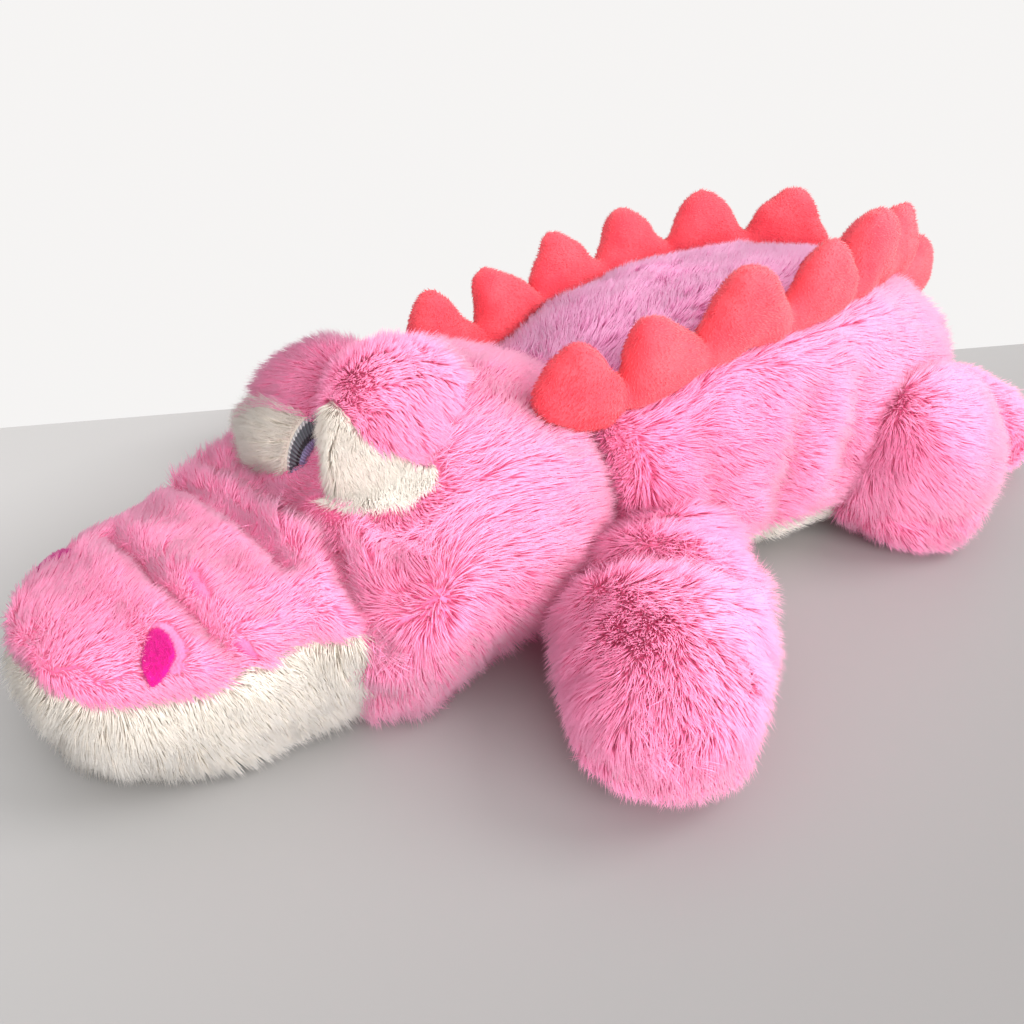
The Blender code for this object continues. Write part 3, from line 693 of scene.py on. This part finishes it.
# Settings
class PlushSkin(bpy.types.PropertyGroup):
    voxel: FloatProperty(name="Weave size", description="Grid size of the stuffed skins",
                         default=.0048, min=.003, max=.01, unit="LENGTH")
    pressure: FloatProperty(name="Stuffing pressure", description="Air pressure that fills the skins",
                            default=3.0, min=0, max=10)
    frames: IntProperty(name="Filling steps", description="Steps for which the skins fill", default=16)
    cap: FloatProperty(name="Most swell", description="How far stuffing may move a point", default=.0035,
                       unit="LENGTH")
    seam_depth: FloatProperty(name="Seam depth", description="How far seams draw the skin in", default=.0035,
                              unit="LENGTH")
    seam_width: FloatProperty(name="Seam width", description="How wide a seam draws the skin in",
                              default=.006, unit="LENGTH")


class PlushPile(bpy.types.PropertyGroup):
    density: FloatProperty(name="Density", description="Share of the full number of fibres", default=1.0,
                           min=.05, max=2)
    length: FloatProperty(name="Length", description="Share of the full length of fibres",
                          default=1.0, min=.2, max=2)
    pink_tip: FloatVectorProperty(name="Pink ends", description="Colour at the ends of pink pile",
                                  subtype="COLOR", size=3, default=(1.0, .43, .64))
    pink_root: FloatVectorProperty(name="Pink roots", description="Colour at the roots of pink pile",
                                   subtype="COLOR", size=3, default=(.94, .24, .46))


class PlushStage(bpy.types.PropertyGroup):
    lens: FloatProperty(name="Lens", description="Focal length in millimetres", default=36.07)
    key: FloatProperty(name="Main light", description="Power of the main light", default=15.0, unit="POWER")
    fill: FloatProperty(name="Fill light", description="Power of the fill light", default=30.0, unit="POWER")
    ambient: FloatProperty(name="Room light", description="Strength of the light all round", default=.92)


# Operators
MATERIALS = {}
SKINS = {}


def finishes():
    if MATERIALS:
        return MATERIALS
    settings = bpy.context.scene.plush_pile
    tip, root = tuple(settings.pink_tip), tuple(settings.pink_root)
    MATERIALS.update(
        pink=pile("pink_pile", (.88, .16, .38), root, (.99, .34, .56), tip, (1, .8, .9)),
        lilac=pile("lilac_pink_pile", (.62, .13, .34), (.79, .24, .50), (.92, .38, .65), (1, .58, .82),
                   (1, .8, .9)),
        cream=pile("cream_pile", (.73, .65, .55), (.82, .74, .65), (.88, .81, .73), (.95, .90, .84),
                   (1, 1, 1), .05),
        coral=pile("coral_nap", (.74, .07, .10), (.82, .06, .09), (.90, .10, .14), (.96, .20, .23),
                   (1, .6, .6)),
        magenta=pile("magenta_nap", (.32, 0, .10), (.52, .003, .18), (.70, .006, .27), (.82, .03, .38),
                     (1, .6, .8)),
        pink_backing=backing_fabric("pink_backing", (.84, .16, .36), (.95, .27, .48)),
        lilac_backing=backing_fabric("lilac_pink_backing", (.58, .13, .32), (.76, .25, .47)),
        cream_backing=backing_fabric("cream_backing", (.66, .60, .50), (.86, .81, .73)),
        coral_backing=backing_fabric("coral_backing", (.82, .06, .09), (.92, .11, .14)),
        magenta_backing=backing_fabric("magenta_backing", (.55, .005, .18), (.75, .01, .28)),
        thread=principled("pink_thread", (.72, .10, .30), .45, sheen=.2)[0],
    )
    return MATERIALS


class PLUSH_OT_body(bpy.types.Operator):
    """Stuffed body skin: lilac-pink back, pink sides and cream belly"""
    bl_idname = "plush.body"
    bl_label = "Body skin"

    def execute(self, context):
        m = finishes()
        s = context.scene.plush_skin
        panels = (("back_panel",), ("left_side_panel",), ("right_side_panel",), ("belly_panel",))
        nodes = [n for group in panels for n in group] + ["body_filling"]
        piece, sunk = fabric_skin("body_skin", nodes, panels, s.voxel, s.seam_depth, s.seam_width, .0016, 11)
        points, normals = points_of(piece), normals_of(piece)
        collar = distances(tree_of("left_cheek_panel", "right_cheek_panel"), points)
        neck = hill(collar, *NECK)
        fold = np.zeros(len(points))
        for path in SIDE_FOLDS:
            fold += dented(path_distance(points, path), SIDE_FOLD, SIDE_FOLD_SWELL)
        set_points(piece, points - normals * (neck * .5 + fold)[:, None])
        rounded(piece, np.clip(1.4 - collar / NECK_SMOOTH_REACH, 0, 1), 30)
        puff(piece, np.minimum(1, sunk / s.seam_depth + neck / NECK[0]), s.cap)
        settle(piece)
        fabrics = ("lilac_backing", "pink_backing", "pink_backing", "cream_backing")
        paint_panels(piece, panels, [m[fabric] for fabric in fabrics])
        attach(piece, "body")
        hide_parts(*nodes)
        SKINS["body"] = piece
        return {"FINISHED"}


def eye_hollow(points):
    """How far the skin sinks in front of the eyes."""
    gap = np.linalg.norm(points[:, :2] - EYE_HOLLOW, axis=1)
    return hill(gap, EYE_HOLLOW_DEPTH, EYE_HOLLOW_REACH)


def patch_spread(sign):
    """How far an eye patch runs on past its solid: down on the near side, short at the top on the far."""
    def spread(centres):
        height = centres[:, 2]
        if sign > 0:
            return .009 * np.clip((.118 - height) / .020, 0, 1) - .002
        return -.006 * np.clip((height - .090) / .015, 0, 1)
    return spread


class PLUSH_OT_head(bpy.types.Operator):
    """Stuffed head skin: snout with tucks, cheeks and cream jaw"""
    bl_idname = "plush.head"
    bl_label = "Head skin"

    def execute(self, context):
        m = finishes()
        s = context.scene.plush_skin
        panels = (("snout_panel",), ("jaw_panel",), ("left_cheek_panel", "right_cheek_panel"))
        nodes = [n for group in panels for n in group] + ["head_filling"]
        piece, sunk = fabric_skin("head_skin", nodes, panels, s.voxel * FINER, s.seam_depth, s.seam_width,
                                  .0012, 21)
        points, normals = points_of(piece), normals_of(piece)
        surface = tree_on(piece)
        fold = np.zeros(len(points))
        for path in SNOUT_TUCKS:
            gap = path_distance(points, laid_on(surface, path, .006))
            fold = np.maximum(fold, hill(gap, 1, TUCK[1]))
            points = points + normals * hill(gap, TUCK_SWELL[0], TUCK_SWELL[2], TUCK_SWELL[1])[:, None]
        sink = eye_hollow(points) * np.clip((points[:, 2] - .05) / .02, 0, 1)
        set_points(piece, points - normals * (fold * TUCK[0])[:, None] - UP * sink[:, None])
        puff(piece, np.maximum(sunk / s.seam_depth, fold), s.cap)
        settle(piece)
        points = points_of(piece)
        behind = np.clip((points[:, 1] + .165) / .06, 0, 1) * np.clip((points @ HEAD_LEFT - .01) / .04, 0, 1)
        set_points(piece, points + FORWARD * (HEAD_BACK_EASE * behind ** 1.5)[:, None])
        paint_panels(piece, panels, (m["pink_backing"], m["cream_backing"], m["pink_backing"]))
        piece.data.materials.append(m["cream_backing"])
        index, centres = face_places(piece)
        for side, sign in SIDES.items():
            patch = distances(tree_of(f"{side}_eye_patch"), centres)
            brow = distances(tree_of(f"{side}_brow"), centres)
            away = centres - middle_of(f"{side}_eye_patch")
            outer = away @ HEAD_LEFT * sign > .004
            behind = away @ -FORWARD
            reach = PATCH_SKIRT + np.minimum(.10 * behind, .45 * behind)
            index[(patch < reach) & (patch < brow + PATCH_BROW_GAP) & outer & (index != 1)] = 3
        piece.data.polygons.foreach_set("material_index", index)
        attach(piece, "head")
        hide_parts(*nodes)
        SKINS["head"] = piece
        return {"FINISHED"}


def eased(points):
    """Draws the front inner side of the near eye mound in, towards the mound's middle."""
    front_inner = unit(FORWARD * .74 - HEAD_LEFT * .67)
    reach = np.clip((points - middle_of("left_eye_patch")) @ front_inner / EYE_EASE_REACH, 0, 1)
    return points - front_inner * (EYE_EASE * reach ** 1.5)[:, None]


class PLUSH_OT_eyes(bpy.types.Operator):
    """Eye mounds: pink brow behind and cream patch in front, with an embroidered iris"""
    bl_idname = "plush.eyes"
    bl_label = "Eyes"

    def execute(self, context):
        m = finishes()
        head = tree_of("snout_panel", "left_cheek_panel", "right_cheek_panel")
        for side, sign in SIDES.items():
            panels = ((f"{side}_brow",), (f"{side}_eye_patch",))
            nodes = [n for group in panels for n in group]
            piece, sunk = fabric_skin(f"{side}_eye_mound", nodes, panels, .0030, .0022, .004, .0008, 31)
            points = points_of(piece)
            low = np.clip(1 - distances(head, points) / .010, 0, 1)
            points = points - UP * (low * eye_hollow(points) * 1.3)[:, None]
            set_points(piece, eased(points) if sign > 0 else points)
            settle(piece)
            paint_panels(piece, panels, (m["pink_backing"], m["cream_backing"]), patch_spread(sign))
            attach(piece, "head")
            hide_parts(*nodes)
            SKINS[f"{side}_eye"] = piece
        return {"FINISHED"}


class PLUSH_OT_limbs(bpy.types.Operator):
    """Stuffed legs and tail"""
    bl_idname = "plush.limbs"
    bl_label = "Legs and tail"

    def execute(self, context):
        m = finishes()
        s = context.scene.plush_skin
        for limb, seed in zip(LEGS + ("tail",), range(41, 99, 5)):
            under = "under_panel" if limb == "tail" else "sole_panel"
            panels = ((f"{limb}_upper_panel",), (f"{limb}_{under}",))
            nodes = [n for group in panels for n in group] + [f"{limb}_filling"]
            piece, sunk = fabric_skin(f"{limb}_skin", nodes, panels, s.voxel * FINER, LIMB_SEAM_DEPTH, .005,
                                      .0016, seed)
            if "front" in limb:
                sign = SIDES[limb.split("_")[0]]
                points, normals = points_of(piece), normals_of(piece)
                gap = path_distance(points * np.array((sign, 1, 1)), LEG_CREASE)
                set_points(piece, points - normals * dented(gap, CREASE, CREASE_SWELL)[:, None])
                sunk = np.maximum(sunk, hill(gap, LIMB_SEAM_DEPTH, CREASE[1]))
            puff(piece, sunk / LIMB_SEAM_DEPTH, s.cap)
            settle(piece)
            paint_panels(piece, panels, (m["pink_backing"], m["pink_backing"]))
            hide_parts(*nodes)
            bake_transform(piece)
            SKINS[limb] = piece
        return {"FINISHED"}


class PLUSH_OT_spikes(bpy.types.Operator):
    """Two rows of seven stuffed spikes"""
    bl_idname = "plush.spikes"
    bl_label = "Spikes"

    def execute(self, context):
        m = finishes()
        for side in SIDES:
            node = f"{side}_spike_row"
            piece, sunk = fabric_skin(f"{side}_spikes", [node], ((node,),), .0028, 0, 1, .0013, 61)
            rounded(piece, np.ones(len(sunk)), 20)
            points, normals = points_of(piece), normals_of(piece)
            lumps = drift(points, .017, 63, 1) * SPIKE_LUMPS + drift(points, .008, 64, 1) * SPIKE_FINE_LUMPS
            set_points(piece, points + normals * (SPIKE_SWELL + lumps))
            puff(piece, sunk[:len(piece.data.vertices)], .0042)
            settle(piece)
            piece.data.materials.append(m["coral_backing"])
            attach(piece, "body")
            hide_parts(node)
            SKINS[node] = piece
        return {"FINISHED"}


class PLUSH_OT_nostrils(bpy.types.Operator):
    """Two short-pile teardrops sewn on the snout"""
    bl_idname = "plush.nostrils"
    bl_label = "Nostrils"

    def execute(self, context):
        m = finishes()
        for side in SIDES:
            node = f"{side}_nostril"
            piece = joined_copy(f"{side}_nostril_patch", [node])
            modified(piece, "REMESH", mode="VOXEL", voxel_size=.0006)
            points, normals = points_of(piece), normals_of(piece)
            gap = np.linalg.norm(points - middle_of(node), axis=1)
            dome = np.clip(1 - (gap / .013) ** 2, 0, 1) ** .6 * .0012
            outward = unit(np.array((.75 * SIDES[side], -.35, .55)))
            facing = np.clip(normals @ outward, 0, 1)
            set_points(piece, points + outward * (dome * facing)[:, None])
            modified(piece, "SMOOTH", factor=.6, iterations=12)
            piece.data.shade_smooth()
            piece.data.materials.append(m["magenta_backing"])
            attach(piece, "head")
            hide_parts(node)
            SKINS[node] = piece
        return {"FINISHED"}


class PLUSH_OT_irises(bpy.types.Operator):
    """Embroidered irises with a banded ring, a lavender middle and a dark pupil"""
    bl_idname = "plush.irises"
    bl_label = "Irises"

    def execute(self, context):
        material = embroidery()
        for side, sign in SIDES.items():
            node = f"{side}_iris"
            eye = SKINS[f"{side}_eye"]
            surface = tree_on(eye)
            seen = points_of(joined_copy("iris_place", [node]))
            bpy.data.objects.remove(bpy.data.objects["iris_place"])
            outward = unit(seen.mean(0) - points_of(eye).mean(0))
            tall = unit(UP - outward * (UP @ outward))
            inward = unit(-sign * HEAD_LEFT + outward * (sign * HEAD_LEFT @ outward))
            wide = unit(inward - tall * (inward @ tall))
            deselect()
            bpy.ops.mesh.primitive_uv_sphere_add(segments=72, ring_count=36, radius=1)
            piece = context.object
            piece.name = f"{side}_iris_embroidery"
            round_map = points_of(piece)
            middle = wide * ((seen @ wide).min() + IRIS_WIDTH / 2) + outward * ((seen @ outward).max() + .02)
            middle = middle + tall * ((seen @ tall).max() - .002 - IRIS_HEIGHT / 2)
            spots = []
            for x, y, z in round_map:
                place = Vector(middle + wide * (x * IRIS_WIDTH / 2) + tall * (y * IRIS_HEIGHT / 2))
                hit, normal = surface.ray_cast(place, Vector(-outward))[:2]
                if hit is None:
                    hit, normal = surface.find_nearest(place)[:2]
                spots.append(hit + normal * (.0006 + z * .0012))
            set_points(piece, np.array(spots))
            spread = .5 + round_map[:, :2] / 2
            layer = piece.data.uv_layers.active
            layer.name = "OFBake"
            index = np.empty(len(piece.data.loops), dtype=np.int32)
            piece.data.loops.foreach_get("vertex_index", index)
            layer.uv.foreach_set("vector", spread[index].ravel())
            piece.data.shade_smooth()
            piece.data.materials.append(material)
            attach(piece, "head")
            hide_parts(node)
            SKINS[node] = piece
        return {"FINISHED"}


class PLUSH_OT_stitches(bpy.types.Operator):
    """Ladder stitches that close the tucks, the brow and the leg's crease"""
    bl_idname = "plush.stitches"
    bl_label = "Stitches"

    def execute(self, context):
        thread = finishes()["thread"]
        for name, (body, skin, path) in STITCHED.items():
            surface = tree_on(SKINS[skin])
            spots = laid_on(surface, path, STITCH_STEP)
            bm = bmesh.new()
            for here, there in zip(spots, spots[1:]):
                run = (there - here).normalized()
                outward = surface.find_nearest(here)[1]
                across = outward.cross(run).normalized()
                turn = Matrix((across, run, outward)).transposed().to_4x4()
                flat = Matrix.Diagonal((1, STITCH_FLAT, STITCH_FLAT, 1))
                place = Matrix.Translation(here + outward * .0003) @ turn @ flat
                bmesh.ops.create_uvsphere(bm, u_segments=8, v_segments=6, radius=STITCH_RADIUS, matrix=place)
            mesh = bpy.data.meshes.new(name)
            bm.to_mesh(mesh)
            bm.free()
            mesh.shade_smooth()
            mesh.materials.append(thread)
            piece = new_piece(name, mesh)
            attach(piece, body)
            SKINS[name] = piece
        return {"FINISHED"}


class PLUSH_OT_body_pile(bpy.types.Operator):
    """Pile on the body panels"""
    bl_idname = "plush.body_pile"
    bl_label = "Body pile"

    def execute(self, context):
        skin = SKINS["body"]
        grow("back_pile", skin, 0, "body", "lilac", comb_body, .0090, .8, seed=101, parts=2)
        # Painted shade: the near side's pile is tinted darker towards the front, where the head shades the
        # neck
        grow("left_side_pile", skin, 1, "body", "pink", comb_body, .0110, 1.0, seed=111, parts=3,
             depth=lambda points: -.60 * np.clip((.03 - points[:, 1]) / .09, 0, 1),
             stand=lambda points: .25 * near_rim(points))
        grow("right_side_pile", skin, 2, "body", "pink", comb_body, .0110, .4, seed=121)
        grow("belly_pile", skin, 3, "body", "cream", comb_body, .0090, .3, seed=131)
        return {"FINISHED"}


class PLUSH_OT_head_pile(bpy.types.Operator):
    """Pile on the snout, jaw, cheeks, brows and eye patches"""
    bl_idname = "plush.head_pile"
    bl_label = "Head pile"

    def execute(self, context):
        skin = SKINS["head"]
        nostrils = tree_of("left_nostril", "right_nostril")
        sewn = [(tree_on(SKINS[name]), .0020) for name in STITCHED]
        irises = {side: tree_on(SKINS[f"{side}_iris"]) for side in SIDES}
        centres = {side: middle_of(f"{side}_iris") - HEAD_LEFT * sign * .006 for side, sign in SIDES.items()}
        patches = tree_of("left_eye_patch", "right_eye_patch")

        def short(points):
            gap = np.minimum(*(distances(tree, points) for tree in irises.values()))
            patch = distances(patches, points) - PATCH_SKIRT
            return np.clip(.35 + gap / .020, .35, 1) * np.clip(.55 + patch / .012, .55, 1)

        grow("snout_pile", skin, 0, "head", "pink", comb_head, .0078, 1.6, rise=.45, wild=.5,
             seed=201, bare=((nostrils, .0022), *sewn[:2]), trim=short)
        grow("jaw_pile", skin, 1, "head", "cream", comb_jaw, .0105, 1.05, seed=211)
        grow("cheek_pile", skin, 2, "head", "pink", comb_cheek, .0120, .9, seed=221, parts=3,
             stand=lambda points: .35 * near_whorl(points, .018),
             depth=lambda points: -.25 * near_whorl(points, .010), trim=short)

        def skirt_comb(points, normals):
            left, right = points - centres["left"], points - centres["right"]
            near = (left @ HEAD_LEFT > right @ -HEAD_LEFT)[:, None]
            return np.where(near, HEAD_LEFT * .75 - UP * .65 + FORWARD * .25, right)

        grow("patch_skirt_pile", skin, 3, "head", "cream", skirt_comb, .0110, 3.4, width=.00026,
             rise=.42, wild=.4, gather=.12, seed=226, depth=lambda points: .25)
        for side, sign in SIDES.items():
            eye = SKINS[f"{side}_eye"]
            iris = irises[side]

            def trim(points, iris=iris):
                return np.clip(.35 + distances(iris, points) / .014, .35, 1)

            grow(f"{side}_brow_pile", eye, 0, "head", "pink", comb_brow(sign), .0115, 1.7, rise=.62,
                 seed=231, bare=(sewn[2],), trim=trim)
            far = sign < 0
            grow(f"{side}_eye_patch_pile", eye, 1, "head", "cream", comb_patch(sign, centres[side]),
                 .0130 if far else .0100, 3.2, width=.00026, rise=.68 if far else .5, wild=.8 if far else .4,
                 seed=241, bare=((iris, .0006),), trim=trim)
        return {"FINISHED"}


class PLUSH_OT_limb_pile(bpy.types.Operator):
    """Pile on the legs and the tail"""
    bl_idname = "plush.limb_pile"
    bl_label = "Leg and tail pile"

    def execute(self, context):
        sewn = [(tree_on(SKINS["leg_stitches"]), .0022)]
        for limb, seed in zip(LEGS, range(301, 400, 10)):
            sign = 1 if limb.startswith("left") else -1
            front = "front" in limb
            turn = math.radians(-38 if front else 40)
            heading = (sign * math.cos(turn), math.sin(turn), 0)
            root = (sign * .085, -.055, .075) if front else (sign * .085, .072, .095)
            paw = (sign * .136, -.124, .068) if front else (sign * .104, .088, .082)
            comb = comb_leg(root, paw, heading)
            dense = 1.4 if sign > 0 else .45
            # Painted shade where each leg joins the body, strongest on the front legs
            shade = painted_shade_near_root(root, .75 if front else .05)
            grow(f"{limb}_pile", SKINS[limb], 0, limb, "pink", comb, .0125, dense, seed=seed,
                 bend=BENDS[limb], bare=sewn, depth=shade)
            grow(f"{limb}_sole_pile", SKINS[limb], 1, limb, "pink", comb, .0095, dense * .45,
                 seed=seed + 3, bend=BENDS[limb])
        grow("tail_pile", SKINS["tail"], None, "tail", "pink", comb_tail, .0100, .5, seed=351,
             bend=BENDS["tail"])
        return {"FINISHED"}


class PLUSH_OT_naps(bpy.types.Operator):
    """Short nap on the spikes and the nostrils"""
    bl_idname = "plush.naps"
    bl_label = "Short naps"

    def execute(self, context):
        for side, seed in zip(SIDES, (401, 411)):
            grow(f"{side}_spike_nap", SKINS[f"{side}_spike_row"], None, "body", "coral", comb_body,
                 .0024, .6, width=.00036, rise=.5, wild=.6, tuft=.004, gather=.2, seed=seed)
            grow(f"{side}_nostril_nap", SKINS[f"{side}_nostril"], None, "head", "magenta", comb_head,
                 .0014, 4, width=.00022, rise=.8, wild=.8, tuft=.002, gather=.3, seed=seed + 5)
        return {"FINISHED"}


class PLUSH_OT_stage(bpy.types.Operator):
    """Pale table, soft light and the camera"""
    bl_idname = "plush.stage"
    bl_label = "Stage"

    def execute(self, context):
        s = context.scene.plush_stage
        azimuth, elevation = math.radians(CAMERA_AZIMUTH), math.radians(CAMERA_ELEVATION)
        ahead = Vector((-math.sin(azimuth), math.cos(azimuth), -math.tan(elevation)))
        data = bpy.data.cameras.new("camera")
        data.sensor_width = 36
        data.lens = s.lens
        data.clip_start = .01
        camera = new_piece("camera", data)
        turn = ahead.to_track_quat("-Z", "Y").to_matrix().to_4x4()
        roll = Matrix.Rotation(math.radians(CAMERA_ROLL), 4, "Z")
        camera.matrix_world = Matrix.Translation(CAMERA) @ turn @ roll
        context.scene.camera = camera
        context.scene.view_settings.view_transform = "Standard"
        deselect()
        run = Vector(TABLE_RUN).normalized()
        inward = Vector((run.y, -run.x, 0))
        middle = Vector(TABLE_EDGE) + inward * TABLE_DEPTH / 2 - Vector(UP) * TABLE_THICKNESS / 2
        size = Matrix.Diagonal((2 * TABLE_HALF_LENGTH, TABLE_DEPTH, TABLE_THICKNESS, 1))
        bpy.ops.mesh.primitive_cube_add(size=1)
        table = context.object
        table.name = "table"
        turn = Matrix.Rotation(math.atan2(run.y, run.x), 4, "Z")
        table.data.transform(Matrix.Translation(middle) @ turn @ size)
        material, tree, shader = principled("table_top", (.4, .4, .4), .5, specular=.4)
        where = add_node(tree, "ShaderNodeTexCoord", {})["Object"]
        across = add_node(tree, "ShaderNodeVectorMath", {0: where, 1: PAINTED_LIGHT_TOWARDS}, operation="DOT_PRODUCT")
        shifted = add_node(tree, "ShaderNodeMath", {0: across["Value"], 1: .5})[0]
        # Painted light and shade: the table top is darker near the camera and paler towards the far left
        painted_table_light = ramp(tree, shifted, ((0, (.22, .215, .213)), (1, (.57, .562, .557))))
        tree.links.new(painted_table_light, shader.inputs["Base Color"])
        table.data.materials.append(material)
        world = bpy.data.worlds.new("room")
        context.scene.world = world
        world.use_nodes = True
        background = world.node_tree.nodes["Background"]
        background.inputs["Color"].default_value = (1, .985, .975, 1)
        background.inputs["Strength"].default_value = s.ambient
        for name, spot, size, power in (("main_light", (.75, .95, 1.10), .9, s.key),
                                        ("fill_light", (1.30, -.10, .28), 1.2, s.fill)):
            light = bpy.data.lights.new(name, "AREA")
            light.size = size
            light.energy = power
            lamp = new_piece(name, light)
            lamp.location = spot
            lamp.rotation_euler = (Vector(LIGHT_AIM) - Vector(spot)).to_track_quat("-Z", "Y").to_euler()
        return {"FINISHED"}


class PLUSH_PT_panel(bpy.types.Panel):
    """Lists the steps in the order in which they run"""
    bl_idname = "PLUSH_PT_panel"
    bl_label = "Plush crocodile"
    bl_space_type = "VIEW_3D"
    bl_region_type = "UI"
    bl_category = "Plush"

    def draw(self, context):
        for group in ("plush_skin", "plush_pile", "plush_stage"):
            box = self.layout.box()
            settings = getattr(context.scene, group)
            for name in settings.bl_rna.properties.keys():
                if name not in ("rna_type", "name"):
                    box.prop(settings, name)
        for operator in OPERATORS:
            self.layout.operator(operator.bl_idname)


GROUPS = {"plush_skin": PlushSkin, "plush_pile": PlushPile, "plush_stage": PlushStage}
OPERATORS = (PLUSH_OT_stage, PLUSH_OT_body, PLUSH_OT_head, PLUSH_OT_eyes, PLUSH_OT_limbs, PLUSH_OT_spikes,
             PLUSH_OT_nostrils, PLUSH_OT_irises, PLUSH_OT_stitches, PLUSH_OT_body_pile, PLUSH_OT_head_pile,
             PLUSH_OT_limb_pile, PLUSH_OT_naps)


def register():
    for cls in (*GROUPS.values(), *OPERATORS, PLUSH_PT_panel):
        bpy.utils.register_class(cls)
    for name, group in GROUPS.items():
        setattr(bpy.types.Scene, name, PointerProperty(type=group))


def unregister():
    for name in GROUPS:
        delattr(bpy.types.Scene, name)
    for cls in (PLUSH_PT_panel, *reversed(OPERATORS), *GROUPS.values()):
        bpy.utils.unregister_class(cls)


def main():
    register()
    for operator in OPERATORS:
        group, name = operator.bl_idname.split(".")
        getattr(getattr(bpy.ops, group), name)()


if __name__ == "__main__":
    main()
